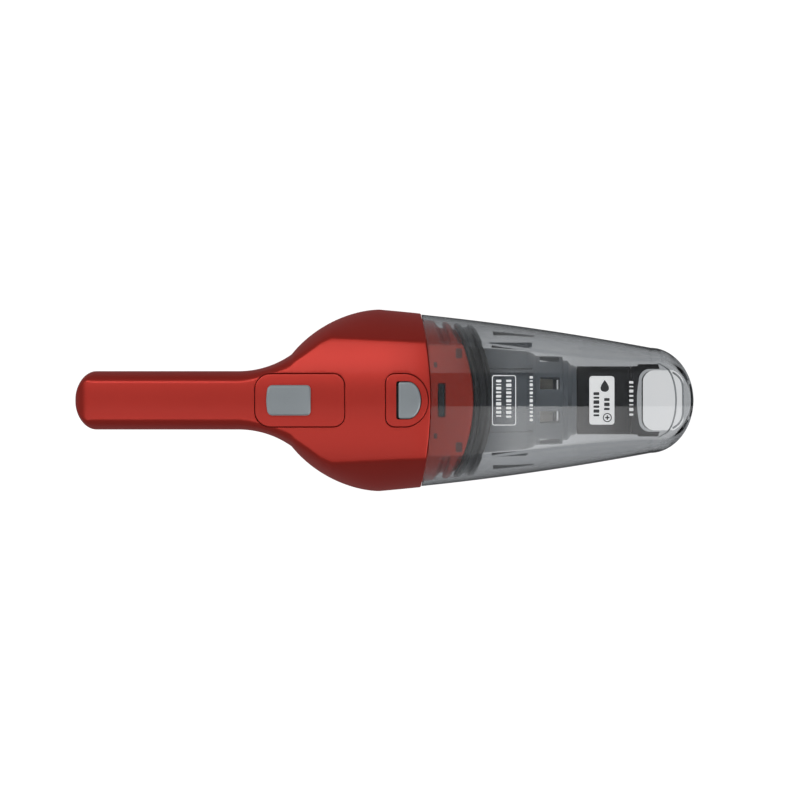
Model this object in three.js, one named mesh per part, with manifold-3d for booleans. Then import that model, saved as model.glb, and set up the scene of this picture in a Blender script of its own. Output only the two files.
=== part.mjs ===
// Cordless handheld wet and dry vacuum, in millimetres. +X points to the nozzle, +Y to the left hand
// of the user, +Z up. The origin is under the middle of the object, on the surface its belly rests on.
import * as THREE from "three";
import { mergeVertices } from "three/addons/utils/BufferGeometryUtils.js";
import Module from "manifold-3d";

const wasm = await Module();
wasm.setup();

// ---------------------------------------------------------------- driving dimensions
const GRIP_LENGTH = 100; // end of the grip to the start of the shoulders
const SHOULDER_LENGTH = 86; // start of the shoulders to the widest place
const COLLAR_LENGTH = 31.4; // widest place to the joint with the bowl
const BOWL_LENGTH = 163.2; // joint to the tip of the nozzle's outer form
const BODY_WIDTH = 112;
const BODY_HEIGHT = 112;
const GRIP_WIDTH = 35.8;
const GRIP_HEIGHT = 40;
const NOZZLE_WIDTH = 66.4;
const TIP_HEIGHT = 39; // top of the nozzle tip above the belly
const MOUTH_LENGTH = 35; // how far the slanted mouth runs back under the tip
const AXIS_HEIGHT = 52; // motor, fan and filter share this axis

const HOUSING_WALL = 2.4;
const BOWL_WALL = 2.2;
const BOWL_STEP = 0.6; // the bowl lies this far inside the housing's surface
const COLLAR_WALL = 2.4;
const DUCT_WALL = 1.6;
const GAP = 0.3; // between fixed neighbours
const PLAY = 0.4; // round pieces that slide

// Outline seen from above
const GRIP_ROUND = 13; // length of the rounded end of the grip
const FLARE_RADIUS = 55; // shoulder fillet
const BULB_REACH = 65.2; // length of the bulb behind its widest place
const BULB_POWER = 1.8;
const TAPER = 0.088; // how fast the sides close in just ahead of the widest place
const NOZZLE_ROUND = 27; // length of the rounded end of the nozzle
const SEAM_BOW = 240; // radius of the joint's curve, seen from above
const NOSE_BOW = 90; // radius of the nose's front edge, seen from above

// Top panel, which meets the flanks in a crease
const CROWN_RADIUS = 110;
const GRIP_CREASE = 13;
const CORNER_CREASE = 38.8;
const SEAM_CREASE = 35.8;
const NOZZLE_CREASE = 25.6;
const CORNER_BACK = 31.7; // crease corner behind the widest place
const FLANK_STEEPNESS = 1.3;
const BELLY_POWER = 2.8;
const BELLY_SINK = 2.4; // the belly's curve is cut flat this far above its lowest point
const GRIP_DROOP = 2.5;

const CELL_DIAMETER = 18.4;
const CELL_LENGTH = 65;
const MOTOR_DIAMETER = 28;
const MOTOR_LENGTH = 38;
const SHAFT_DIAMETER = 3;
const IMPELLER_DIAMETER = 60;
const CUP_RADIUS = 35;
const CUP_NECK_RADIUS = 27.5;
const CUP_SNOUT_RADIUS = 24.3;
const CUP_RIM_RADIUS = 20.9;
const CUP_WALL = 1.5;
const DUCT_WIDTH = 41.8;
const DUCT_HEIGHT = 24;
const SLIDER_TRAVEL = 8;

// ---------------------------------------------------------------- places along the length
const REAR_X = -(GRIP_LENGTH + SHOULDER_LENGTH + COLLAR_LENGTH + BOWL_LENGTH - BOWL_STEP) / 2;
const GRIP_END_X = REAR_X + GRIP_LENGTH;
const BULB_X = GRIP_END_X + SHOULDER_LENGTH;
const SEAM_X = BULB_X + COLLAR_LENGTH;
const TIP_X = SEAM_X + BOWL_LENGTH;
const NOZZLE_X = TIP_X - NOZZLE_ROUND;
const CORNER_X = BULB_X - CORNER_BACK;
const NOSE_X = SEAM_X + 26.1; // front edge of the red nose on the centre line
const SEAL_LENGTH = 11.5;
const CUP_X = NOSE_X + 7; // rear rim of the prefilter cup
const CUP_LENGTH = 56.3;
const MOUTH_X = TIP_X - MOUTH_LENGTH;
const MOUTH_SLOPE = (TIP_HEIGHT - 1.5) / MOUTH_LENGTH;
const DUCT_X = CUP_X + CUP_LENGTH + 1;
const WINDOW_X = TIP_X - 35.3; // the inlet duct's roof ends here, and its open front begins

// ---------------------------------------------------------------- small maths
const mix = (a, b, t) => a + (b - a) * t;
const clamp = (value, low, high) => Math.min(high, Math.max(low, value));
const rise = (value, from, to) => {
  const t = clamp((value - from) / (to - from), 0, 1);
  return t * t * (3 - 2 * t);
};
const arch = (u, power) => Math.pow(Math.max(0, 1 - Math.pow(clamp(u, 0, 1), power)), 1 / power);

// ---------------------------------------------------------------- solids
// A three.js geometry as a manifold-3d solid that faces out.
function solid(geometry) {
  const plain = geometry.clone();
  plain.deleteAttribute("normal");
  plain.deleteAttribute("uv");
  const merged = mergeVertices(plain, 1e-4);
  const faces = [];
  for (let i = 0; i < merged.index.count; i += 3) {
    const [a, b, c] = merged.index.array.slice(i, i + 3);
    if (a !== b && b !== c && c !== a) faces.push(a, b, c);
  }
  const build = (corners) =>
    new wasm.Manifold(
      new wasm.Mesh({
        numProp: 3,
        vertProperties: merged.attributes.position.array,
        triVerts: new Uint32Array(corners),
      }),
    );
  const made = build(faces);
  return made.volume() > 0 ? made : build(faces.reverse());
}

function geometryOf(body) {
  const mesh = body.getMesh();
  const corners = new Float32Array(mesh.numVert * 3);
  for (let i = 0; i < mesh.numVert; i++) {
    corners.set(mesh.vertProperties.subarray(i * mesh.numProp, i * mesh.numProp + 3), i * 3);
  }
  return new THREE.BufferGeometry()
    .setAttribute("position", new THREE.BufferAttribute(corners, 3))
    .setIndex(new THREE.BufferAttribute(mesh.triVerts, 1));
}

const join = (...bodies) => bodies.reduce((sum, next) => sum.add(next));
const cut = (body, ...tools) => tools.reduce((rest, tool) => rest.subtract(tool), body);

const box = (x0, x1, y0, y1, z0, z1) =>
  solid(
    new THREE.BoxGeometry(x1 - x0, y1 - y0, z1 - z0)
      .translate((x0 + x1) / 2, (y0 + y1) / 2, (z0 + z1) / 2),
  );

// Round bars along each axis, from one end to the other.
const barX = (radius, x0, x1, y, z, sides = 20) =>
  solid(
    new THREE.CylinderGeometry(radius, radius, x1 - x0, sides)
      .rotateZ(Math.PI / 2)
      .translate((x0 + x1) / 2, y, z),
  );
const barY = (radius, y0, y1, x, z, sides = 16) =>
  solid(
    new THREE.CylinderGeometry(radius, radius, y1 - y0, sides).translate(x, (y0 + y1) / 2, z),
  );
const barZ = (radius, z0, z1, x, y, sides = 16) =>
  solid(
    new THREE.CylinderGeometry(radius, radius, z1 - z0, sides)
      .rotateX(Math.PI / 2)
      .translate(x, y, (z0 + z1) / 2),
  );

// A body turned about the X axis through (0, AXIS_HEIGHT) from a closed profile of [x, radius].
const turned = (profile, sides = 24) =>
  solid(
    new THREE.LatheGeometry(
      profile.map(([x, radius]) => new THREE.Vector2(radius, x)),
      sides,
    )
      .rotateZ(-Math.PI / 2)
      .translate(0, 0, AXIS_HEIGHT),
  );
const ring = (x0, x1, inner, outer, sides = 24) =>
  turned([[x0, inner], [x1, inner], [x1, outer], [x0, outer], [x0, inner]], sides);
const disc = (x0, x1, radius, sides = 24) => barX(radius, x0, x1, 0, AXIS_HEIGHT, sides);

// An outline seen from above, pulled up between two heights.
const prism = (shape, z0, z1) =>
  solid(
    new THREE.ExtrudeGeometry(shape, { depth: z1 - z0, bevelEnabled: false, curveSegments: 4 })
      .translate(0, 0, z0),
  );
// An outline seen from the side, with its second coordinate as the height.
const sidePlate = (shape, y0, y1) =>
  solid(
    new THREE.ExtrudeGeometry(shape, { depth: y1 - y0, bevelEnabled: false, curveSegments: 6 })
      .rotateX(Math.PI / 2)
      .translate(0, y1, 0),
  );
const polygon = (points) => new THREE.Shape(points.map(([a, b]) => new THREE.Vector2(a, b)));

function roundedRectangle(x0, x1, halfWidth, radius) {
  const shape = new THREE.Shape();
  shape.absarc(x1 - radius, halfWidth - radius, radius, 0, Math.PI / 2);
  shape.absarc(x0 + radius, halfWidth - radius, radius, Math.PI / 2, Math.PI);
  shape.absarc(x0 + radius, radius - halfWidth, radius, Math.PI, 1.5 * Math.PI);
  shape.absarc(x1 - radius, radius - halfWidth, radius, 1.5 * Math.PI, 2 * Math.PI);
  return shape;
}

// Flat at the rear, a half ellipse at the front.
function dShape(x0, x1, halfWidth, radius) {
  const middle = mix(x0, x1, 0.45);
  const shape = new THREE.Shape();
  shape.absellipse(middle, 0, x1 - middle, halfWidth, -Math.PI / 2, Math.PI / 2, false, 0);
  shape.absarc(x0 + radius, halfWidth - radius, radius, Math.PI / 2, Math.PI);
  shape.absarc(x0 + radius, radius - halfWidth, radius, Math.PI, 1.5 * Math.PI);
  return shape;
}

// Everything between two upright curved faces. Seen from above each face is an arc whose middle is
// furthest forward; a bow of 0 makes it flat.
function bowedSlab(rearX, rearBow, frontX, frontBow) {
  const half = BODY_WIDTH / 2 + 5;
  const steps = 10;
  const edge = (x, bow) =>
    Array.from({ length: steps + 1 }, (_, i) => {
      const y = mix(-half, half, i / steps);
      return [bow ? x - (y * y) / (2 * bow) : x, y];
    });
  return prism(
    polygon([...edge(frontX, frontBow), ...edge(rearX, rearBow).reverse()]),
    -20,
    BODY_HEIGHT + 20,
  );
}

// ---------------------------------------------------------------- outer form
const mouthHeight = (x) => (x - MOUTH_X) * MOUTH_SLOPE;

function halfWidth(x, inset) {
  if (x > NOZZLE_X) {
    return (NOZZLE_WIDTH / 2 - inset) * arch((x - NOZZLE_X) / (NOZZLE_ROUND - inset), 2);
  }
  if (x > BULB_X) {
    const run = NOZZLE_X - BULB_X;
    const bend = BODY_WIDTH / 2 - NOZZLE_WIDTH / 2 - TAPER * run;
    const t = (x - BULB_X) / run;
    return BODY_WIDTH / 2 - TAPER * run * t - bend * t * t - inset;
  }
  const along = clamp(x - GRIP_END_X, 0, FLARE_RADIUS * 0.8);
  const flare = GRIP_WIDTH / 2 + FLARE_RADIUS - Math.sqrt(FLARE_RADIUS ** 2 - along ** 2);
  const bulb = (BODY_WIDTH / 2) * arch((BULB_X - x) / BULB_REACH, BULB_POWER);
  return (Math.max(flare, bulb) - inset) * gripEnd(x, inset, 2);
}

// The grip closes to a point in its last GRIP_ROUND, fuller in height than in width.
const gripEnd = (x, inset, power) =>
  arch((REAR_X + GRIP_ROUND - x) / (GRIP_ROUND - inset), power);

function roofHeight(x) {
  if (x > BULB_X) {
    return BODY_HEIGHT - (BODY_HEIGHT - TIP_HEIGHT) * ((x - BULB_X) / (TIP_X - BULB_X)) ** 2;
  }
  const back = clamp((GRIP_END_X - x) / GRIP_LENGTH, 0, 1);
  return BODY_HEIGHT - GRIP_DROOP * back * back;
}
const floorHeight = (x) =>
  mix(roofHeight(x) - GRIP_HEIGHT, -BELLY_SINK, rise(x, GRIP_END_X + 2, BULB_X - 20));

function heights(x, inset) {
  const middle = (roofHeight(x) + floorHeight(x)) / 2;
  const half = ((roofHeight(x) - floorHeight(x)) / 2 - inset) * gripEnd(x, inset, 3.2);
  return { roof: middle + half, floor: middle - half };
}

function creaseHalf(x) {
  if (x > SEAM_X) return mix(SEAM_CREASE, NOZZLE_CREASE, rise(x, SEAM_X, NOZZLE_X));
  if (x > CORNER_X) return mix(CORNER_CREASE, SEAM_CREASE, (x - CORNER_X) / (SEAM_X - CORNER_X));
  const t = clamp((x - GRIP_END_X) / (CORNER_X - GRIP_END_X), 0, 1);
  return mix(GRIP_CREASE, CORNER_CREASE, Math.pow(t, 1.7));
}

const waistHeight = (x, inset = 0) => {
  const { roof, floor } = heights(x, inset);
  return Math.min(Math.max((roof + floor) / 2, mouthHeight(x) + 1), roof - 1);
};

// One cross-section: the crowned top panel, the flanks from crease to waist, and the round belly,
// which is cut flat at the ground.
function section(x, inset, ground) {
  const { roof, floor } = heights(x, inset);
  const wide = Math.max(halfWidth(x, inset), 0.01);
  const crease = Math.min(creaseHalf(x) - 0.6 * inset, 0.8 * wide);
  const waist = waistHeight(x, inset);
  const crown = (y) => Math.max(roof - (y * y) / (2 * CROWN_RADIUS), waist + 0.3 * (roof - waist));
  const creaseHeight = crown(crease);
  const knee = Math.max(creaseHeight - FLANK_STEEPNESS * (wide - crease), mix(waist, creaseHeight, 0.35));
  const points = [];
  const topSteps = 4;
  const flankSteps = 3;
  const bellySteps = 10;
  for (let i = 0; i < topSteps; i++) {
    const y = mix(crease, -crease, i / topSteps);
    points.push([y, crown(y)]);
  }
  const flank = (t) => [
    (1 - t) ** 2 * crease + (1 - (1 - t) ** 2) * wide,
    (1 - t) ** 2 * creaseHeight + 2 * t * (1 - t) * knee + t * t * waist,
  ];
  for (let i = 0; i < flankSteps; i++) {
    const [y, z] = flank(i / flankSteps);
    points.push([-y, z]);
  }
  for (let i = 0; i < bellySteps; i++) {
    const angle = (Math.PI * i) / bellySteps;
    const across = Math.sign(Math.cos(angle)) * Math.abs(Math.cos(angle)) ** (2 / BELLY_POWER);
    const down = Math.sin(angle) ** (2 / BELLY_POWER);
    points.push([-wide * across, waist - (waist - floor) * down]);
  }
  for (let i = 0; i < flankSteps; i++) {
    points.push(flank(1 - i / flankSteps));
  }
  return points.map(([y, z]) => new THREE.Vector3(x, y, Math.max(z, ground)));
}

// A closed solid through rings of points, with a fan over each end.
function loft(rings) {
  const count = rings[0].length;
  const corners = rings.flat();
  const faces = [];
  for (let i = 0; i + 1 < rings.length; i++) {
    for (let j = 0; j < count; j++) {
      const a = i * count + j;
      const b = i * count + ((j + 1) % count);
      faces.push(a, b, b + count, a, b + count, a + count);
    }
  }
  [rings[0], rings[rings.length - 1]].forEach((end, which) => {
    const middle = end.reduce((sum, p) => sum.add(p), new THREE.Vector3()).divideScalar(count);
    const start = which * (rings.length - 1) * count;
    corners.push(middle);
    for (let j = 0; j < count; j++) {
      const pair = [start + j, start + ((j + 1) % count)];
      if (which === 0) pair.reverse();
      faces.push(corners.length - 1, ...pair);
    }
  });
  const geometry = new THREE.BufferGeometry().setFromPoints(corners);
  return solid(geometry.setIndex(faces));
}

// Places of the cross-sections: close together where the form turns fast.
const rearStations = (inset) =>
  [1, 0.95, 0.82, 0.6, 0.3].map((u) => REAR_X + GRIP_ROUND - u * (GRIP_ROUND - inset));
const shoulderStations = [
  REAR_X + GRIP_ROUND, mix(REAR_X, GRIP_END_X, 0.6), GRIP_END_X,
  ...[13, 23, 29, 32, 37, 45].map((step) => GRIP_END_X + step),
  CORNER_X, ...[22, 11, 0].map((step) => BULB_X - step),
  BULB_X + 14, SEAM_X, NOSE_X,
];
const frontStations = (inset) => [
  SEAM_X - 25, SEAM_X, SEAM_X + 16,
  ...[0.3, 0.5, 0.75].map((t) => mix(SEAM_X, NOZZLE_X, t)), NOZZLE_X,
  ...[0.35, 0.6, 0.78, 0.9, 0.97, 0.995].map((u) => NOZZLE_X + u * (NOZZLE_ROUND - inset)),
];
const bodyForm = (inset) =>
  loft([...rearStations(inset), ...shoulderStations].map((x) => section(x, inset, inset)));
const frontForm = (inset) =>
  loft(frontStations(inset).map((x) => section(x, inset, inset - BOWL_STEP)));

// Everything below or above the line where the two housings meet, which follows the waist.
function partingTool(above) {
  const xs = [REAR_X - 20, ...shoulderStations, SEAM_X + 60];
  const shift = above ? GAP / 2 : -GAP / 2;
  const line = xs.map((x) => [x, waistHeight(clamp(x, REAR_X + GRIP_ROUND, SEAM_X)) + shift]);
  const far = above ? BODY_HEIGHT + 30 : -30;
  return sidePlate(
    polygon([...line, [SEAM_X + 60, far], [REAR_X - 20, far]]),
    -BODY_WIDTH,
    BODY_WIDTH,
  );
}

// ---------------------------------------------------------------- the model
const finish = (colour, roughness, metalness = 0, opacity = 1) =>
  new THREE.MeshStandardMaterial({
    color: colour,
    roughness,
    metalness,
    opacity,
    transparent: opacity < 1,
  });
const RED = finish(0xa03530, 0.35);
const GREY = finish(0x808c94, 0.4);
const BLACK = finish(0x22252a, 0.45);
const SMOKE = finish(0x8b8f92, 0.1, 0, 0.4);
const RUBBER = finish(0x1c2023, 0.7);
const STEEL = finish(0xb9bcc0, 0.35, 1);
const BRASS = finish(0xc2a45a, 0.35, 1);
const WHITE = finish(0xe6e4dc, 0.8);
const GREEN = finish(0x1f5b3a, 0.5);
const BLUE = finish(0x2e6fa8, 0.4);
const COPPER = finish(0xb06a3c, 0.4, 1);

const vacuum = new THREE.Group();
const housing = new THREE.Group();
const powerUnit = new THREE.Group();
const battery = new THREE.Group();
const controls = new THREE.Group();
const bowlSet = new THREE.Group();
const filterSet = new THREE.Group();
vacuum.add(housing, powerUnit, battery, controls, bowlSet, filterSet);

function add(group, name, body, material) {
  const mesh = new THREE.Mesh(geometryOf(body), material);
  mesh.name = name;
  group.add(mesh);
  return mesh;
}

// ---------------------------------------------------------------- housings
const MOTOR_X = BULB_X - 6; // middle of the motor can
const MOTOR_REAR_X = MOTOR_X - MOTOR_LENGTH / 2;
const MOTOR_FRONT_X = MOTOR_X + MOTOR_LENGTH / 2;
const MOUNT_RADIUS = MOTOR_DIAMETER / 2 + 3.5;
const RIB_X = MOTOR_X - 8;
const RIB_THICKNESS = 3;
const SCREW_SHANK = 1.5;
const SCREW_HEAD = 3;
const SCREW_HEAD_HEIGHT = 2.2;
const SCREW_LENGTH = 18;
const HEAD_DEPTH = 8; // seat of a screw head below the parting line
const SOCKET_X = BULB_X + 4;
const SOCKET_RADIUS = 4;
const PANEL_DEPTH = 2.4;
const VENT_COUNT = 5; // exhaust slots in each flank
const VENT_PITCH = 7;
const VENT_WIDTH = 2.6;
const VENT_BOTTOM = 20;
const VENT_TOP = 38;

const screwPlaces = [
  [REAR_X + 11, 0],
  [GRIP_END_X + 40, halfWidth(GRIP_END_X + 40, 0) - 11],
  [GRIP_END_X + 40, 11 - halfWidth(GRIP_END_X + 40, 0)],
  [BULB_X + 4, BODY_WIDTH / 2 - 11],
  [BULB_X + 4, 11 - BODY_WIDTH / 2],
];

const SWITCH_PANEL_X = GRIP_END_X + 10.2;
const SWITCH_PANEL_LENGTH = 54.6;
const PANEL_HALF_WIDTH = 16.2;
const RELEASE_PANEL_X = SEAM_X - 27.4;
const RELEASE_PANEL_LENGTH = 25.9;

const switchPanelShape = (margin) =>
  roundedRectangle(
    SWITCH_PANEL_X - margin,
    SWITCH_PANEL_X + SWITCH_PANEL_LENGTH + margin,
    PANEL_HALF_WIDTH + margin,
    8 + margin,
  );
const releasePanelShape = (margin) =>
  dShape(
    RELEASE_PANEL_X - margin,
    RELEASE_PANEL_X + RELEASE_PANEL_LENGTH + margin,
    PANEL_HALF_WIDTH + margin,
    4.5 + margin,
  );

const bodySolid = bodyForm(0);
const bodyHollow = bodyForm(HOUSING_WALL);

function screwColumns(above) {
  return screwPlaces.map(([x, y]) => {
    const joint = waistHeight(x);
    return above
      ? barZ(SCREW_SHANK + 2.2, joint, BODY_HEIGHT, x, y, 12)
      : barZ(SCREW_HEAD + 1.4, -5, joint, x, y, 12);
  });
}

function housingShell(above) {
  const airways = [45, 135, 225, 315].map((angle) => {
    const turn = THREE.MathUtils.degToRad(angle);
    return barX(9, RIB_X - 5, RIB_X + 5, 34 * Math.cos(turn), AXIS_HEIGHT + 34 * Math.sin(turn), 12);
  });
  const rib = cut(
    bodySolid.intersect(box(RIB_X, RIB_X + RIB_THICKNESS, -BODY_WIDTH, BODY_WIDTH, -5, BODY_HEIGHT)),
    disc(RIB_X - 5, RIB_X + 5, MOUNT_RADIUS + GAP),
    ...airways,
  );
  const columns = join(...screwColumns(above)).intersect(bodySolid);
  const shell = join(cut(bodySolid, bodyHollow), rib, columns);
  return shell
    .intersect(bowedSlab(REAR_X - 20, 0, SEAM_X, SEAM_BOW))
    .intersect(partingTool(above));
}

function upperHousing() {
  const holes = screwPlaces.map(([x, y]) =>
    barZ(SCREW_SHANK + GAP, 0, waistHeight(x) + SCREW_LENGTH - HEAD_DEPTH + 1, x, y, 12),
  );
  return cut(
    housingShell(true),
    prism(switchPanelShape(GAP), BODY_HEIGHT - 20, BODY_HEIGHT + 10),
    prism(releasePanelShape(GAP), BODY_HEIGHT - 20, BODY_HEIGHT + 10),
    ...holes,
  );
}

function lowerHousing() {
  const holes = screwPlaces.map(([x, y]) => {
    const joint = waistHeight(x);
    return join(
      barZ(SCREW_SHANK + GAP, 0, joint + 5, x, y, 12),
      barZ(SCREW_HEAD + GAP, -10, joint - HEAD_DEPTH, x, y, 12),
    );
  });
  const vents = [];
  for (let i = 0; i < VENT_COUNT; i++) {
    const x = BULB_X - 20 + i * VENT_PITCH;
    vents.push(
      box(x, x + VENT_WIDTH, BODY_WIDTH * 0.3, BODY_WIDTH, VENT_BOTTOM, VENT_TOP),
      box(x, x + VENT_WIDTH, -BODY_WIDTH, -BODY_WIDTH * 0.3, VENT_BOTTOM, VENT_TOP),
    );
  }
  return cut(
    housingShell(false),
    barZ(SOCKET_RADIUS + GAP, -5, 10, SOCKET_X, 0),
    ...vents,
    ...holes,
  );
}

add(housing, "upper_housing", upperHousing(), RED);
add(housing, "lower_housing", lowerHousing(), RED);

const screwBody = join(
  barZ(SCREW_HEAD, -SCREW_HEAD_HEIGHT, 0, 0, 0, 12),
  barZ(SCREW_SHANK, -0.5, SCREW_LENGTH - 3, 0, 0, 10),
);
screwPlaces.forEach(([x, y], i) => {
  const screw = add(housing, `housing_screw_${i + 1}`, screwBody, STEEL);
  screw.position.set(x, y, waistHeight(x) - HEAD_DEPTH - GAP);
});

// ---------------------------------------------------------------- inset panels, slider, release
const skin = (inset, depth) => cut(bodyForm(inset), bodyForm(inset + depth));
const SLIDER_X = GRIP_END_X + 17.1;
const SLIDER_LENGTH = 27.1;
const SLIDER_HALF_WIDTH = 9.7;
const SLIDER_PROUD = 2.2;
const STEM_X = SLIDER_X + 7;
const STEM_LENGTH = 7;
const STEM_HALF_WIDTH = 3;
const SWITCH_TOP = BODY_HEIGHT - 9;
const BUTTON_X = SEAM_X - 19.6;
const BUTTON_END_X = SEAM_X - 6;
const BUTTON_HALF_WIDTH = 11.2;

add(
  controls,
  "switch_panel",
  cut(
    skin(0.2, PANEL_DEPTH).intersect(prism(switchPanelShape(0), BODY_HEIGHT - 15, BODY_HEIGHT + 5)),
    box(STEM_X - PLAY, STEM_X + STEM_LENGTH + SLIDER_TRAVEL + PLAY,
      -STEM_HALF_WIDTH - PLAY, STEM_HALF_WIDTH + PLAY, BODY_HEIGHT - 15, BODY_HEIGHT + 5),
  ),
  RED,
);
add(
  controls,
  "power_slider",
  join(
    skin(-SLIDER_PROUD, SLIDER_PROUD - 0.1).intersect(
      prism(
        roundedRectangle(SLIDER_X, SLIDER_X + SLIDER_LENGTH, SLIDER_HALF_WIDTH, 4),
        BODY_HEIGHT - 8,
        BODY_HEIGHT + 8,
      ),
    ),
    box(STEM_X, STEM_X + STEM_LENGTH, -STEM_HALF_WIDTH, STEM_HALF_WIDTH,
      SWITCH_TOP + 2.2, BODY_HEIGHT + 1),
  ),
  GREY,
);
add(
  controls,
  "release_panel",
  cut(
    skin(0.2, PANEL_DEPTH).intersect(prism(releasePanelShape(0), BODY_HEIGHT - 15, BODY_HEIGHT + 5)),
    prism(
      dShape(BUTTON_X - 1.4, BUTTON_END_X + PLAY, BUTTON_HALF_WIDTH + PLAY, 1),
      BODY_HEIGHT - 15,
      BODY_HEIGHT + 5,
    ),
  ),
  RED,
);

const TONGUE_X = SEAM_X + 5;
const TONGUE_LENGTH = 3.2;
const TONGUE_HALF_WIDTH = 9.6;
const ARM_TOP = BODY_HEIGHT - 9;
const ARM_THICKNESS = 2;
const ARM_HALF_WIDTH = 6;
const SPRING_RADIUS = 3;
const SPRING_HEIGHT = 8;
const SPRING_X = BUTTON_X + 7;
const SPRING_TOP = ARM_TOP - ARM_THICKNESS - GAP;
const COLLAR_INSET = BOWL_STEP + BOWL_WALL + PLAY;

add(
  controls,
  "release_button",
  bodyForm(-0.5).intersect(
    prism(dShape(BUTTON_X, BUTTON_END_X, BUTTON_HALF_WIDTH, 1), ARM_TOP + GAP, BODY_HEIGHT + 5),
  ),
  GREY,
);
add(
  controls,
  "release_latch",
  join(
    box(BUTTON_X + 1, TONGUE_X + TONGUE_LENGTH, -ARM_HALF_WIDTH, ARM_HALF_WIDTH,
      ARM_TOP - ARM_THICKNESS, ARM_TOP),
    box(TONGUE_X, TONGUE_X + TONGUE_LENGTH, -TONGUE_HALF_WIDTH, TONGUE_HALF_WIDTH,
      ARM_TOP - ARM_THICKNESS, BODY_HEIGHT).intersect(bodyForm(COLLAR_INSET + 0.1)),
  ),
  BLACK,
);
add(
  controls,
  "latch_spring",
  barZ(SPRING_RADIUS, SPRING_TOP - SPRING_HEIGHT, SPRING_TOP, SPRING_X, 0, 16),
  STEEL,
);
const BRACKET_TOP = SPRING_TOP - SPRING_HEIGHT - GAP;
const bracketLeg = (side) =>
  box(SPRING_X - 5, SPRING_X + 5, side * 17.5 - 1.2, side * 17.5 + 1.2, BRACKET_TOP - 2, BODY_HEIGHT)
    .intersect(bodyForm(HOUSING_WALL + GAP + PANEL_DEPTH * 0.4));
add(
  controls,
  "latch_bracket",
  join(
    box(SPRING_X - 5, SPRING_X + 5, -18, 18, BRACKET_TOP - 2, BRACKET_TOP),
    bracketLeg(-1),
    bracketLeg(1),
  ),
  BLACK,
);

// ---------------------------------------------------------------- switch, board, cells, leads
const BOARD_X = GRIP_END_X + 15;
const BOARD_LENGTH = 38;
const BOARD_TOP = BODY_HEIGHT - 13.4;
const BOARD_THICKNESS = 1.6;
const CELL_GAP = 2; // room for the link strip between the cells
const CELL_Z = BOARD_TOP - BOARD_THICKNESS - 1.8 - CELL_DIAMETER / 2;
const CELL_FRONT_X = GRIP_END_X - 15;
const CELL_REAR_X = CELL_FRONT_X - CELL_GAP - CELL_LENGTH;

const cellBody = join(
  barX(CELL_DIAMETER / 2, 0, CELL_LENGTH - 1.2, 0, 0, 24),
  barX(3, CELL_LENGTH - 1.5, CELL_LENGTH, 0, 0, 12),
);
[["cell_rear", CELL_REAR_X], ["cell_front", CELL_FRONT_X]].forEach(([name, x]) => {
  add(battery, name, cellBody, BLUE).position.set(x, 0, CELL_Z);
});
add(
  battery,
  "cell_link",
  box(CELL_REAR_X + CELL_LENGTH + GAP, CELL_FRONT_X - GAP, -4, 4, CELL_Z - 5, CELL_Z + 5),
  STEEL,
);
function batteryCradle() {
  const outer = box(
    CELL_REAR_X + 8, CELL_FRONT_X + CELL_LENGTH - 8,
    -CELL_DIAMETER / 2 - 2.4, CELL_DIAMETER / 2 + 2.4,
    CELL_Z - CELL_DIAMETER / 2 - 2, CELL_Z - 2,
  );
  return cut(
    outer.intersect(bodyForm(HOUSING_WALL + GAP)),
    barX(CELL_DIAMETER / 2 + GAP, CELL_REAR_X - 5, CELL_FRONT_X + CELL_LENGTH + 5, 0, CELL_Z, 24),
  );
}
add(battery, "battery_cradle", batteryCradle(), BLACK);

add(
  controls,
  "control_board",
  box(BOARD_X, BOARD_X + BOARD_LENGTH, -12, 12, BOARD_TOP - BOARD_THICKNESS, BOARD_TOP),
  GREEN,
);
add(
  controls,
  "slide_switch",
  cut(
    box(STEM_X - 5, STEM_X + STEM_LENGTH + SLIDER_TRAVEL + 5, -6, 6,
      BOARD_TOP + GAP, SWITCH_TOP - 1.4),
    box(STEM_X - PLAY, STEM_X + STEM_LENGTH + SLIDER_TRAVEL + PLAY, -2.5, 2.5,
      SWITCH_TOP - 3.4, SWITCH_TOP),
  ),
  BLACK,
);
add(
  controls,
  "switch_toggle",
  join(
    box(STEM_X, STEM_X + STEM_LENGTH, -2, 2, SWITCH_TOP - 3, SWITCH_TOP - 0.6),
    box(STEM_X, STEM_X + STEM_LENGTH, -4, 4, SWITCH_TOP - 1, SWITCH_TOP + 1.8),
  ),
  WHITE,
);

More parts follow.
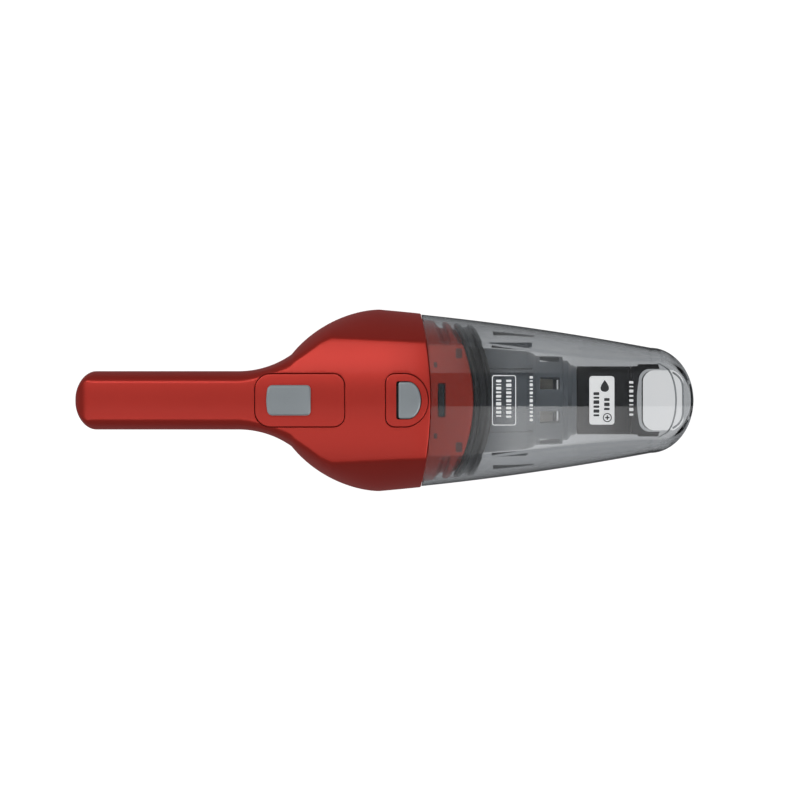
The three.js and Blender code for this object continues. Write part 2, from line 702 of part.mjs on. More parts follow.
function lead(points, radius = 0.9) {
  const path = new THREE.CatmullRomCurve3(points.map((p) => new THREE.Vector3(...p)));
  const round = new THREE.Shape();
  round.absarc(0, 0, radius, 0, 2 * Math.PI);
  const steps = Math.round(path.getLength() / (radius * 5));
  return solid(
    new THREE.ExtrudeGeometry(round, {
      steps,
      extrudePath: path,
      bevelEnabled: false,
      curveSegments: 4,
    }),
  );
}
const boardEnd = BOARD_X + BOARD_LENGTH;
add(
  controls,
  "lead_battery",
  lead([
    [CELL_REAR_X - 1.5, 4, CELL_Z + 2],
    [CELL_REAR_X - 1.5, 8, CELL_Z + 8],
    [CELL_REAR_X + 8, 11, CELL_Z + CELL_DIAMETER / 2 + 1],
    [BOARD_X - 15, 11, CELL_Z + CELL_DIAMETER / 2 + 1],
    [BOARD_X - 6, 9, BOARD_TOP - BOARD_THICKNESS / 2],
    [BOARD_X - 1.2, 7, BOARD_TOP - BOARD_THICKNESS / 2],
  ]),
  RED,
);
[["lead_motor_plus", 1], ["lead_motor_minus", -1]].forEach(([name, side]) => {
  add(
    controls,
    name,
    lead([
      [boardEnd + 1.2, side * 6, BOARD_TOP - BOARD_THICKNESS / 2],
      [boardEnd + 7, side * 6.5, BOARD_TOP - 4],
      [MOTOR_REAR_X - 7, side * 9, AXIS_HEIGHT + 20],
      [MOTOR_REAR_X - 8, side * 6, AXIS_HEIGHT + 8],
      [MOTOR_REAR_X - 6.6, side * 6, AXIS_HEIGHT + 1],
    ]),
    side > 0 ? RED : BLACK,
  );
});

add(
  housing,
  "charge_socket",
  cut(
    join(
      barZ(SOCKET_RADIUS, 1, 12, SOCKET_X, 0),
      barZ(SOCKET_RADIUS + 2, HOUSING_WALL + GAP, 6, SOCKET_X, 0),
    ),
    barZ(2.6, 0, 9, SOCKET_X, 0),
  ),
  BLACK,
);

// ---------------------------------------------------------------- motor and fan
const SHAFT_R = SHAFT_DIAMETER / 2;
const CAN_R = MOTOR_DIAMETER / 2;
const CAN_WALL = 1.2;
const BEARING_R = 4;
const CARRIER_X = MOTOR_FRONT_X + 2;
const CARRIER_THICKNESS = 2.5;
const SHROUD_RADIUS = IMPELLER_DIAMETER / 2 + 5;
const IMPELLER_X = CARRIER_X + CARRIER_THICKNESS + 3;
const IMPELLER_DEPTH = 13;
const SHROUD_LENGTH = IMPELLER_DEPTH + 8;

add(
  powerUnit,
  "motor_can",
  turned([
    [MOTOR_REAR_X + 5, CAN_R - CAN_WALL], [MOTOR_FRONT_X - CAN_WALL, CAN_R - CAN_WALL],
    [MOTOR_FRONT_X - CAN_WALL, BEARING_R + GAP], [MOTOR_FRONT_X, BEARING_R + GAP],
    [MOTOR_FRONT_X, CAN_R], [MOTOR_REAR_X + 5, CAN_R], [MOTOR_REAR_X + 5, CAN_R - CAN_WALL],
  ]),
  STEEL,
);
add(
  powerUnit,
  "motor_end_cap",
  turned([
    [MOTOR_REAR_X, BEARING_R + GAP], [MOTOR_REAR_X + 3, BEARING_R + GAP],
    [MOTOR_REAR_X + 3, CAN_R - CAN_WALL - 2], [MOTOR_REAR_X + 5 - GAP, CAN_R - CAN_WALL - 2],
    [MOTOR_REAR_X + 5 - GAP, CAN_R], [MOTOR_REAR_X, CAN_R], [MOTOR_REAR_X, BEARING_R + GAP],
  ]),
  BLACK,
);
[["bearing_rear", MOTOR_REAR_X - 0.5], ["bearing_front", MOTOR_FRONT_X - 3]].forEach(([name, x]) => {
  const bush = turned([
    [0, SHAFT_R + GAP], [3.5, SHAFT_R + GAP], [3.5, BEARING_R], [0, BEARING_R], [0, SHAFT_R + GAP],
  ], 20);
  add(powerUnit, name, bush, BRASS).position.set(x, 0, 0);
});
add(
  powerUnit,
  "rotor_shaft",
  disc(MOTOR_REAR_X - 3, IMPELLER_X + IMPELLER_DEPTH + 3, SHAFT_R, 16),
  STEEL,
);
function armature() {
  const radius = CAN_R - CAN_WALL - 1.2;
  const rear = MOTOR_REAR_X + 9;
  const front = MOTOR_FRONT_X - 6;
  const slots = [0, 1, 2].map((i) => {
    const turn = THREE.MathUtils.degToRad(90 + 120 * i);
    const z = AXIS_HEIGHT + radius * Math.sin(turn);
    return barX(1.6, rear - 1, front + 1, radius * Math.cos(turn), z, 8);
  });
  return cut(ring(rear, front, SHAFT_R + GAP, radius, 30), ...slots);
}
add(powerUnit, "armature", armature(), COPPER);

function impeller() {
  const outer = IMPELLER_DIAMETER / 2;
  const hub = turned([
    [IMPELLER_X, SHAFT_R + GAP], [IMPELLER_X + IMPELLER_DEPTH, SHAFT_R + GAP],
    [IMPELLER_X + IMPELLER_DEPTH, 5], [IMPELLER_X + 3, 8], [IMPELLER_X + 1.6, outer],
    [IMPELLER_X, outer], [IMPELLER_X, SHAFT_R + GAP],
  ]);
  const blades = Array.from({ length: 8 }, (_, i) => {
    const blade = box(IMPELLER_X + 0.5, IMPELLER_X + IMPELLER_DEPTH, -0.8, 0.8, 0, outer - 1);
    return blade
      .intersect(turned([
        [IMPELLER_X, 6], [IMPELLER_X + IMPELLER_DEPTH, 12],
        [IMPELLER_X + IMPELLER_DEPTH - 3, outer - 1.5], [IMPELLER_X, outer - 1.5],
        [IMPELLER_X, 6],
      ]).translate([0, 0, -AXIS_HEIGHT]))
      .translate([0, -3, 0])
      .rotate([i * 45, 0, 0])
      .translate([0, 0, AXIS_HEIGHT]);
  });
  return join(hub, ...blades);
}
add(powerUnit, "impeller", impeller(), BLACK);
add(
  powerUnit,
  "impeller_nut",
  turned([
    [0, SHAFT_R + GAP], [2.6, SHAFT_R + GAP], [2.6, 3.4], [0, 3.4], [0, SHAFT_R + GAP],
  ], 6),
  BRASS,
).position.set(IMPELLER_X + IMPELLER_DEPTH + GAP, 0, 0);

const motorScrewPlaces = [-1, 1].map((side) => [CARRIER_X, side * 8.5]);
add(
  powerUnit,
  "motor_carrier",
  cut(
    disc(CARRIER_X, CARRIER_X + CARRIER_THICKNESS, SHROUD_RADIUS),
    disc(CARRIER_X - 1, CARRIER_X + 5, 5.5, 20),
    ...motorScrewPlaces.map(([x, y]) => barX(SCREW_SHANK + GAP, x - 1, x + 5, y, AXIS_HEIGHT, 12)),
    ...Array.from({ length: 8 }, (_, i) => {
      const turn = (i * Math.PI) / 4;
      return barX(4, CARRIER_X - 1, CARRIER_X + 5,
        24 * Math.cos(turn), AXIS_HEIGHT + 24 * Math.sin(turn), 12);
    }),
  ),
  BLACK,
);
motorScrewPlaces.forEach(([x, y], i) => {
  const screw = join(
    barX(2.4, GAP, 2, y, AXIS_HEIGHT, 12),
    barX(SCREW_SHANK, -CARRIER_THICKNESS - 1.6, 0.5, y, AXIS_HEIGHT, 10),
  );
  add(powerUnit, `motor_screw_${i + 1}`, screw, STEEL).position.set(x + CARRIER_THICKNESS, 0, 0);
});
add(
  powerUnit,
  "fan_shroud",
  turned([
    [CARRIER_X + CARRIER_THICKNESS + GAP, SHROUD_RADIUS - 2],
    [CARRIER_X + SHROUD_LENGTH - 2, SHROUD_RADIUS - 2], [CARRIER_X + SHROUD_LENGTH - 2, 15],
    [CARRIER_X + SHROUD_LENGTH, 15], [CARRIER_X + SHROUD_LENGTH, SHROUD_RADIUS],
    [CARRIER_X + CARRIER_THICKNESS + GAP, SHROUD_RADIUS],
    [CARRIER_X + CARRIER_THICKNESS + GAP, SHROUD_RADIUS - 2],
  ]),
  BLACK,
);
add(
  powerUnit,
  "motor_mount",
  ring(RIB_X - 2, RIB_X + RIB_THICKNESS + 2, CAN_R + GAP, MOUNT_RADIUS),
  RUBBER,
);

// ---------------------------------------------------------------- nose and latch slot
function filterBulkhead() {
  const outer = bodyForm(COLLAR_INSET);
  const inner = bodyForm(COLLAR_INSET + COLLAR_WALL);
  const rearX = SEAM_X - 16;
  const tube = cut(outer, inner).intersect(bowedSlab(rearX, 0, NOSE_X, NOSE_BOW));
  const flange = cut(bodyForm(HOUSING_WALL + GAP), inner)
    .intersect(box(rearX, rearX + 3, -BODY_WIDTH, BODY_WIDTH, -5, BODY_HEIGHT));
  const wall = outer.intersect(bowedSlab(NOSE_X - 3, NOSE_BOW, NOSE_X, NOSE_BOW));
  const grille = Array.from({ length: 6 }, (_, i) => {
    const turn = (i * Math.PI) / 3;
    return barX(6, SEAM_X, NOSE_X + 5, 15 * Math.cos(turn), AXIS_HEIGHT + 15 * Math.sin(turn), 12);
  });
  return cut(
    join(tube, flange, wall),
    ...grille,
    disc(SEAM_X, NOSE_X + 5, 6, 12),
    // room for the release button, its panel and bracket
    box(SEAM_X - 40, SEAM_X - 0.8, -20, 20, BODY_HEIGHT - 26, BODY_HEIGHT),
    // groove over the latch arm, and the slot of its tongue
    box(SEAM_X - 2, TONGUE_X, -ARM_HALF_WIDTH - 0.8, ARM_HALF_WIDTH + 0.8,
      ARM_TOP - 12, ARM_TOP + 0.8),
    box(TONGUE_X - 0.8, TONGUE_X + TONGUE_LENGTH + 0.8,
      -TONGUE_HALF_WIDTH - 0.8, TONGUE_HALF_WIDTH + 0.8, ARM_TOP - 12, BODY_HEIGHT),
  );
}
add(housing, "filter_bulkhead", filterBulkhead(), RED);

// ---------------------------------------------------------------- bowl and inlet duct
const BOWL_INNER = BOWL_STEP + BOWL_WALL;
const DUCT_HALF = DUCT_WIDTH / 2;
const DUCT_FLOOR = BOWL_WALL + 1.2;
const DUCT_ROOF = DUCT_FLOOR + DUCT_HEIGHT;
const MOUTH_HALF = DUCT_HALF - DUCT_WALL - 0.8;

// Everything behind the slanted plane of the mouth, moved back by a distance.
function behindMouth(back) {
  const shift = back * Math.sqrt(1 + 1 / MOUTH_SLOPE ** 2);
  const x = (z) => MOUTH_X + z / MOUTH_SLOPE - shift;
  return sidePlate(
    polygon([[x(-30), -30], [x(150), 150], [REAR_X, 150], [REAR_X, -30]]),
    -BODY_WIDTH,
    BODY_WIDTH,
  );
}
const chamber = (inset, back) => frontForm(inset).intersect(behindMouth(back));

function bowl() {
  const pocket = box(TONGUE_X - 0.6, TONGUE_X + TONGUE_LENGTH + 0.8,
    -TONGUE_HALF_WIDTH - 1, TONGUE_HALF_WIDTH + 1, BODY_HEIGHT - 12, BODY_HEIGHT)
    .intersect(frontForm(BOWL_INNER - 1));
  const mouth = prism(
    roundedRectangle(MOUTH_X + 3.5, TIP_X - 7, MOUTH_HALF, 8),
    -10,
    BODY_HEIGHT,
  ).intersect(chamber(BOWL_INNER, -20));
  return cut(chamber(BOWL_STEP, 0), chamber(BOWL_INNER, BOWL_WALL), mouth, pocket)
    .intersect(bowedSlab(SEAM_X + GAP, SEAM_BOW, TIP_X + 10, 0));
}
add(bowlSet, "bowl", bowl(), SMOKE);

const PIN_X = DUCT_X - 2.6;
const PIN_Z = DUCT_ROOF + 1.2;
const EAR_RADIUS = 3;
// The space inside the bowl for what lies on its floor, with a margin, above the duct's floor level.
const ductRoom = (margin) =>
  frontForm(BOWL_INNER + PLAY + margin)
    .intersect(box(SEAM_X, TIP_X, -BODY_WIDTH, BODY_WIDTH, DUCT_FLOOR + margin, BODY_HEIGHT));

function inletDuct() {
  const room = chamber(BOWL_INNER + PLAY, BOWL_WALL + PLAY);
  const tube = box(DUCT_X, WINDOW_X - 0.5, -DUCT_HALF, DUCT_HALF, DUCT_FLOOR, DUCT_ROOF);
  const scoop = box(WINDOW_X - 4, TIP_X, -DUCT_HALF, DUCT_HALF, 0, BODY_HEIGHT);
  const passage = box(DUCT_X - 5, WINDOW_X + 5, -DUCT_HALF + DUCT_WALL, DUCT_HALF - DUCT_WALL,
    0, DUCT_ROOF - DUCT_WALL).intersect(ductRoom(DUCT_WALL));
  const window = prism(
    roundedRectangle(WINDOW_X, TIP_X + 20, DUCT_HALF - DUCT_WALL, 9),
    -10,
    BODY_HEIGHT,
  );
  const ears = [-1, 1].map((side) => {
    const y = side * (DUCT_HALF - DUCT_WALL / 2);
    return join(
      box(PIN_X, DUCT_X + 4, y - DUCT_WALL / 2, y + DUCT_WALL / 2, PIN_Z - EAR_RADIUS, PIN_Z),
      barY(EAR_RADIUS, y - DUCT_WALL / 2, y + DUCT_WALL / 2, PIN_X, PIN_Z),
      box(PIN_X, DUCT_X + 8, y - DUCT_WALL / 2, y + DUCT_WALL / 2, PIN_Z - 4, PIN_Z + 1),
    );
  });
  const clips = [-1, 1].map((side) => {
    const y = side * (DUCT_HALF + 0.6);
    return box(WINDOW_X, WINDOW_X + 12.9, y - 0.8, y + 0.8, DUCT_ROOF - 4, DUCT_ROOF + 8);
  });
  return cut(
    join(tube.intersect(room), scoop.intersect(room), ...ears, ...clips.map((c) => c.intersect(room))),
    passage,
    window,
    barY(1 + GAP, -DUCT_HALF - 2, DUCT_HALF + 2, PIN_X, PIN_Z, 12),
  );
}
add(bowlSet, "inlet_duct", inletDuct(), BLACK);
add(
  bowlSet,
  "flap_pin",
  barY(1, -DUCT_HALF - 0.6, DUCT_HALF + 0.6, PIN_X, PIN_Z, 10),
  STEEL,
);
const FLAP_HALF = DUCT_HALF - DUCT_WALL - 0.8;
add(
  bowlSet,
  "duct_flap",
  cut(
    join(
      box(PIN_X - 0.8, PIN_X + 0.8, -FLAP_HALF, FLAP_HALF, DUCT_FLOOR + 1, PIN_Z)
        .intersect(frontForm(BOWL_INNER + 1.2)),
      barY(2.1, -FLAP_HALF, FLAP_HALF, PIN_X, PIN_Z, 14),
    ),
    barY(1 + GAP, -DUCT_HALF, DUCT_HALF, PIN_X, PIN_Z, 12),
  ),
  RUBBER,
);

// ---------------------------------------------------------------- filter set
const SEAL_INSET = BOWL_INNER + GAP;
const FLANGE_INSET = SEAL_INSET + 3;
const FRAME_X = NOSE_X + 2.5;
const FILTER_RADIUS = CUP_NECK_RADIUS - CUP_WALL - 3.4;
const FILTER_LENGTH = 38;
const CUP_THROAT = CUP_RADIUS - CUP_WALL;

add(
  filterSet,
  "seal_ring",
  cut(frontForm(SEAL_INSET), frontForm(FLANGE_INSET - GAP)).intersect(
    bowedSlab(NOSE_X + GAP, NOSE_BOW, NOSE_X + GAP + SEAL_LENGTH, NOSE_BOW),
  ),
  RUBBER,
);
add(
  filterSet,
  "filter_frame",
  cut(
    join(
      frontForm(FLANGE_INSET).intersect(bowedSlab(FRAME_X, NOSE_BOW, FRAME_X + 4, NOSE_BOW)),
      ring(FRAME_X - 1, FRAME_X + 8, 20, CUP_THROAT - 1.6),
    ),
    disc(FRAME_X - 20, FRAME_X + 20, 20.5),
  ),
  GREY,
);
function pleats() {
  const count = 22;
  const shape = new THREE.Shape();
  for (let i = 0; i < 2 * count; i++) {
    const radius = i % 2 ? FILTER_RADIUS : FILTER_RADIUS - 5;
    const turn = (i * Math.PI) / count;
    const point = [radius * Math.cos(turn), radius * Math.sin(turn)];
    if (i === 0) shape.moveTo(...point);
    else shape.lineTo(...point);
  }
  const bore = new THREE.Path();
  bore.absarc(0, 0, FILTER_RADIUS - 8, 0, 2 * Math.PI, true);
  shape.holes.push(bore);
  return solid(
    new THREE.ExtrudeGeometry(shape, { depth: FILTER_LENGTH, bevelEnabled: false, curveSegments: 16 })
      .rotateY(Math.PI / 2)
      .translate(0, 0, AXIS_HEIGHT),
  );
}
add(filterSet, "filter_pleats", pleats(), WHITE).position.set(FRAME_X + 8 + GAP, 0, 0);
add(
  filterSet,
  "filter_end_cap",
  disc(0, 2, FILTER_RADIUS - 1),
  GREY,
).position.set(FRAME_X + 8 + FILTER_LENGTH + 2 * GAP, 0, 0);

function prefilterCup() {
  const rear = CUP_X;
  const front = CUP_X + CUP_LENGTH;
  const shoulder = rear + 25.8;
  const outside = [
    [rear, CUP_RADIUS], [shoulder, CUP_RADIUS - 1], [shoulder + 5.7, CUP_NECK_RADIUS],
    [front - 8.3, CUP_NECK_RADIUS], [front - 8.3, CUP_SNOUT_RADIUS], [front - 5.3, CUP_SNOUT_RADIUS],
    [front - 2.8, CUP_RIM_RADIUS], [front, CUP_RIM_RADIUS],
  ];
  const inside = [
    [front, CUP_RIM_RADIUS - 2], [front - 2, CUP_RIM_RADIUS - 2], [front - 2, 0],
    [front - 4, 0], [front - 4, CUP_RIM_RADIUS - CUP_WALL], [front - 6, CUP_SNOUT_RADIUS - CUP_WALL],
    [shoulder + 5.2, CUP_NECK_RADIUS - CUP_WALL], [shoulder - 0.6, CUP_THROAT - 1], [rear, CUP_THROAT],
  ];
  const shell = turned([...outside, ...inside, outside[0]], 24);
  const ribs = Array.from({ length: 6 }, (_, i) =>
    box(rear + 3, shoulder - 2, -0.9, 0.9, CUP_RADIUS - 2, CUP_RADIUS + 0.8)
      .rotate([30 + i * 60, 0, 0])
      .translate([0, 0, AXIS_HEIGHT]),
  );
  const windows = Array.from({ length: 8 }, (_, i) =>
    box(shoulder + 7, front - 10, -4, 4, CUP_NECK_RADIUS - 4, CUP_NECK_RADIUS + 3)
      .rotate([22.5 + i * 45, 0, 0])
      .translate([0, 0, AXIS_HEIGHT]),
  );
  const insideBowl = frontForm(BOWL_INNER + GAP);
  return cut(join(shell, ...ribs.map((rib) => rib.intersect(insideBowl))), ...windows);
}
add(filterSet, "prefilter_cup", prefilterCup(), GREY);

export default vacuum;
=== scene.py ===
# A cordless handheld vacuum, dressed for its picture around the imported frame.
# Lengths are metres in the frame's own axes: +X to the nozzle, +Z up, the belly on Z = 0.
import math

import bmesh
import bpy
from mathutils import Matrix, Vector


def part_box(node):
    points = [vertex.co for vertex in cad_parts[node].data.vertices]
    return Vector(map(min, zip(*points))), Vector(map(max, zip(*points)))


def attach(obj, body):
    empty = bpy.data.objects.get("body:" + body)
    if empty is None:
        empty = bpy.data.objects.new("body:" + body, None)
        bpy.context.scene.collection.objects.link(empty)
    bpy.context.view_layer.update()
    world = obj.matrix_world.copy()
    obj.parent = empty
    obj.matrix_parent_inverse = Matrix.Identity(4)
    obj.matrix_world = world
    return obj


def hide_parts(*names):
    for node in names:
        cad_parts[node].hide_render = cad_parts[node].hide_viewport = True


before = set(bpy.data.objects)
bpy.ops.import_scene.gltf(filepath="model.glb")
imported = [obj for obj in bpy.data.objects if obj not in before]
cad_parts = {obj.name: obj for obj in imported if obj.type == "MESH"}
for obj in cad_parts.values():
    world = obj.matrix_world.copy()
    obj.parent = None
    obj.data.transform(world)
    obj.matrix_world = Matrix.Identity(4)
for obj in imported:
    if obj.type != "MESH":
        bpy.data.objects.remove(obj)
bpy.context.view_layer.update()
MM = 0.001

# ------------------------------------------------------------------------------------------------
# The two housing halves. Moulded ABS, 2.4 mm thick, finished in a deep red pearl lacquer with a
# thin clear coat. They meet along the widest line of the body and are screwed from below.
# A crowned top panel runs the length of the body and meets the flanks in a crease.
shell_low, shell_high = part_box("upper_housing")
_, bowl_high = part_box("bowl")
REAR_X = shell_low.x
SEAM_X = shell_high.x
TIP_X = bowl_high.x + 0.7 * MM
BODY_HALF = shell_high.y
BODY_HEIGHT = shell_high.z
GRIP_LENGTH = 100 * MM
COLLAR_LENGTH = 31.4 * MM
CORNER_BEHIND = 31.7 * MM
GRIP_END_X = REAR_X + GRIP_LENGTH
BULB_X = SEAM_X - COLLAR_LENGTH
CORNER_X = BULB_X - CORNER_BEHIND
NOZZLE_ROUND = 27 * MM
NOZZLE_X = TIP_X - NOZZLE_ROUND
NOZZLE_HALF = 33.2 * MM
GRIP_HALF = 17.9 * MM
GRIP_HEIGHT = 40 * MM
GRIP_ROUND = 13 * MM
GRIP_DROOP = 2.5 * MM
FLARE_RADIUS = 55 * MM
BULB_REACH = 65.2 * MM
BULB_POWER = 1.8
GRIP_END_POWER = 3.2
BELLY_POWER = 2.8
CREASE_AT_GRIP = 13 * MM
CREASE_AT_CORNER = 38.8 * MM
CREASE_AT_SEAM = 35.8 * MM
CREASE_AT_NOZZLE = 25.6 * MM
CREASE_ROUND_GRIP = 4.2 * MM
CREASE_ROUND_BODY = 1.3 * MM
FLANK_SLOPE = 1.3
MOUTH_LENGTH = 35 * MM
TAPER = 0.088
TIP_HEIGHT = 39 * MM
MOUTH_X = TIP_X - MOUTH_LENGTH
MOUTH_SLOPE = (TIP_HEIGHT - 1.5 * MM) / MOUTH_LENGTH
CROWN_RADIUS = 110 * MM
BELLY_SINK = 2.4 * MM
WALL = 2.4 * MM
STEP = 0.6 * MM
SEAM_BOW = 1 / (2 * 240 * MM)


def mix(a, b, t):
    return a + (b - a) * t


def clamp(value, low=0.0, high=1.0):
    return min(high, max(low, value))


def rise(value, start, end):
    t = clamp((value - start) / (end - start))
    return t * t * (3 - 2 * t)


def arch(u, power):
    return max(0.0, 1 - clamp(u) ** power) ** (1 / power)


def grip_end(x, inset, power):
    return arch((REAR_X + GRIP_ROUND - x) / (GRIP_ROUND - inset), power)


def half_width(x, inset):
    if x > NOZZLE_X:
        return (NOZZLE_HALF - inset) * arch((x - NOZZLE_X) / (NOZZLE_ROUND - inset), 2)
    if x > BULB_X:
        run = NOZZLE_X - BULB_X
        t = (x - BULB_X) / run
        bend = BODY_HALF - NOZZLE_HALF - TAPER * run
        return BODY_HALF - TAPER * run * t - bend * t * t - inset
    along = clamp(x - GRIP_END_X, 0, FLARE_RADIUS * 0.8)
    flare = GRIP_HALF + FLARE_RADIUS - math.sqrt(FLARE_RADIUS**2 - along**2)
    bulb = BODY_HALF * arch((BULB_X - x) / BULB_REACH, BULB_POWER)
    return (max(flare, bulb) - inset) * grip_end(x, inset, 2)


def roof_height(x):
    if x > BULB_X:
        return BODY_HEIGHT - (BODY_HEIGHT - TIP_HEIGHT) * ((x - BULB_X) / (TIP_X - BULB_X)) ** 2
    back = clamp((GRIP_END_X - x) / (GRIP_END_X - REAR_X))
    return BODY_HEIGHT - GRIP_DROOP * back * back


def floor_height(x):
    under_grip = roof_height(x) - GRIP_HEIGHT
    return mix(under_grip, -BELLY_SINK, rise(x, GRIP_END_X + 2 * MM, BULB_X - 20 * MM))


def heights(x, inset):
    roof, floor = roof_height(x), floor_height(x)
    half = ((roof - floor) / 2 - inset) * grip_end(x, inset, GRIP_END_POWER)
    return (roof + floor) / 2 + half, (roof + floor) / 2 - half


def crease_half(x):
    if x > SEAM_X:
        return mix(CREASE_AT_SEAM, CREASE_AT_NOZZLE, rise(x, SEAM_X, NOZZLE_X))
    if x > CORNER_X:
        return mix(CREASE_AT_CORNER, CREASE_AT_SEAM, (x - CORNER_X) / (SEAM_X - CORNER_X))
    t = clamp((x - GRIP_END_X) / (CORNER_X - GRIP_END_X))
    return mix(CREASE_AT_GRIP, CREASE_AT_CORNER, t**1.7)


def waist_height(x, inset=0.0):
    roof, floor = heights(x, inset)
    mouth = (x - MOUTH_X) * MOUTH_SLOPE
    return min(max((roof + floor) / 2, mouth + 1 * MM), roof - 1 * MM)


CROWN_SHARE = 0.55  # of the upper half's path, the crown takes this much on each side
ROUND_SHARE = 0.70  # and the rounded crease ends here


def upper_at(x, u, inset):
    """A point of the upper half: u runs from 0 at the left waist over the roof to 1 at the right."""
    roof, _ = heights(x, inset)
    wide = max(half_width(x, inset), 1e-6)
    crease = min(crease_half(x) - 0.6 * inset, 0.8 * wide)
    waist = waist_height(x, inset)

    def crown(y):
        return max(roof - y * y / (2 * CROWN_RADIUS), waist + 0.3 * (roof - waist))

    corner = crown(crease)
    knee = max(corner - FLANK_SLOPE * (wide - crease), mix(waist, corner, 0.35))

    def flank(t):
        across = (1 - t) ** 2 * crease + (1 - (1 - t) ** 2) * wide
        return across, (1 - t) ** 2 * corner + 2 * t * (1 - t) * knee + t * t * waist

    soft = mix(CREASE_ROUND_GRIP, CREASE_ROUND_BODY, rise(x, GRIP_END_X, CORNER_X))
    soft = max(min(soft, 0.45 * (wide - crease), 0.45 * crease), 1e-7)
    side = 1 if u < 0.5 else -1
    w = abs(2 * u - 1)
    start = crease - soft
    leave = 1 - math.sqrt(max(0.0, 1 - 0.9 * soft / max(wide - crease, 1e-7)))
    if w <= CROWN_SHARE:
        y = start * w / CROWN_SHARE
        return side * y, crown(y)
    if w >= ROUND_SHARE:
        y, z = flank(mix(leave, 1, (w - ROUND_SHARE) / (1 - ROUND_SHARE)))
        return side * y, z
    t = (w - CROWN_SHARE) / (ROUND_SHARE - CROWN_SHARE)
    y1, z1 = flank(leave)
    y = (1 - t) ** 2 * start + 2 * t * (1 - t) * crease + t * t * y1
    z = (1 - t) ** 2 * crown(start) + 2 * t * (1 - t) * corner + t * t * z1
    return side * y, z


def lower_at(x, u, inset):
    """A point of the lower half: u runs from 0 at the right waist under the belly to 1 at the left."""
    _, floor = heights(x, inset)
    wide = max(half_width(x, inset), 1e-6)
    waist = waist_height(x, inset)
    angle = math.pi * u
    across = math.copysign(abs(math.cos(angle)) ** (2 / BELLY_POWER), math.cos(angle))
    down = max(0.0, math.sin(angle)) ** (2 / BELLY_POWER)
    return -wide * across, waist - (waist - floor) * down


def whole_at(x, u, inset):
    """A point all round: the upper half, then the belly."""
    return upper_at(x, 2 * u, inset) if u <= 0.5 else lower_at(x, 2 * u - 1, inset)


def on_form(at, s, u, inset, bow=0.0, ground=0.0):
    """The point at station s. With a bow, the station's line is an arc seen from above."""
    x = s
    for _ in range(3 if bow else 1):
        y, z = at(x, u, inset)
        x = s - bow * y * y
    return Vector((x, y, max(z, ground)))


def even(start, end, count):
    return [mix(start, end, i / count) for i in range(count + 1)]


def full_turn(sides):
    """Evenly spaced angles once round."""
    return [2 * math.pi * i / sides for i in range(sides)]


def piece(name, points, faces, smooth_angle=38):
    """A mesh object: merged, facing out, smooth except where it turns sharply."""
    mesh = bpy.data.meshes.new(name)
    mesh.from_pydata([tuple(p) for p in points], [], faces)
    form = bmesh.new()
    form.from_mesh(mesh)
    bmesh.ops.remove_doubles(form, verts=form.verts, dist=1e-7)
    bmesh.ops.recalc_face_normals(form, faces=form.faces)
    form.to_mesh(mesh)
    form.free()
    made = bpy.data.objects.new(name, mesh)
    bpy.context.scene.collection.objects.link(made)
    soften(made, smooth_angle)
    return made


def soften(made, angle=38):
    made.data.shade_smooth()
    made.data.set_sharp_from_angle(angle=math.radians(angle))


def loft(name, rings, smooth_angle=38, walled=False, looped=False):
    """A closed skin through rings of equal counts, capped at both ends. In a walled ring the second
    half of the points goes back along the inside, and the caps join the two halves. A looped skin
    has no caps: its last ring meets its first."""
    count = len(rings[0])
    faces = []
    if looped:
        rings = rings + rings[:1]
    for i in range(len(rings) - 1):
        for j in range(count):
            a, b = i * count + j, i * count + (j + 1) % count
            faces.append((a, b, b + count, a + count))
    for start in () if looped else (0, (len(rings) - 1) * count):
        if walled:
            pairs = [(start + j, start + count - 1 - j) for j in range(count // 2)]
            faces += [(a, b, d, c) for (a, c), (b, d) in zip(pairs, pairs[1:])]
        else:
            faces.append(tuple(range(start, start + count)))
    return piece(name, [p for ring in rings for p in ring], faces, smooth_angle)


def settle(made, smooth_angle=38):
    """Applies the modifiers that are waiting on a piece."""
    graph = bpy.context.evaluated_depsgraph_get()
    mesh = bpy.data.meshes.new_from_object(made.evaluated_get(graph))
    made.modifiers.clear()
    made.data = mesh
    mesh.name = made.name
    soften(made, smooth_angle)
    return made


def carve(made, *tools, how="DIFFERENCE", smooth_angle=38):
    """Cuts tools out of a piece, joins them to it or keeps what they share, and uses them up."""
    for tool in tools:
        step = made.modifiers.new("carve", "BOOLEAN")
        step.operation = how
        step.solver = "MANIFOLD"
        step.object = tool
        settle(made, smooth_angle)
        bpy.data.objects.remove(tool)
    return made


REAR_STATIONS = [REAR_X + GRIP_ROUND * (1 - math.sin(a)) for a in even(math.pi / 2, 0, 22)]
BODY_STATIONS = [
    *REAR_STATIONS[:-1],
    *even(REAR_X + GRIP_ROUND, GRIP_END_X, 24)[:-1],
    *even(GRIP_END_X, CORNER_X, 44)[:-1],
    *even(CORNER_X, BULB_X, 20)[:-1],
    *even(BULB_X, SEAM_X - 3 * MM, 18),
]
EDGE_ROLL = [(0.9, 0.0), (0.55, 0.03), (0.3, 0.12), (0.12, 0.27), (0.03, 0.45), (0.0, 0.7)]
UPPER_PATH = [
    0, 0.002, 0.006, 0.012, *even(0.03, 0.15, 7), *even(0.15, 0.225, 6)[1:],
    *even(0.225, 0.775, 34)[1:-1], *even(0.775, 0.85, 6), *even(0.85, 0.97, 7)[1:],
    0.988, 0.994, 0.998, 1,
]
LOWER_PATH = [0, 0.002, 0.006, 0.012, *even(0.03, 0.97, 44), 0.988, 0.994, 0.998, 1]
RIM_ROLL = {0: 0.5, 1: 0.2, 2: 0.05}


def seam_bow(s):
    return SEAM_BOW * rise(s, BULB_X, SEAM_X - 2 * MM)


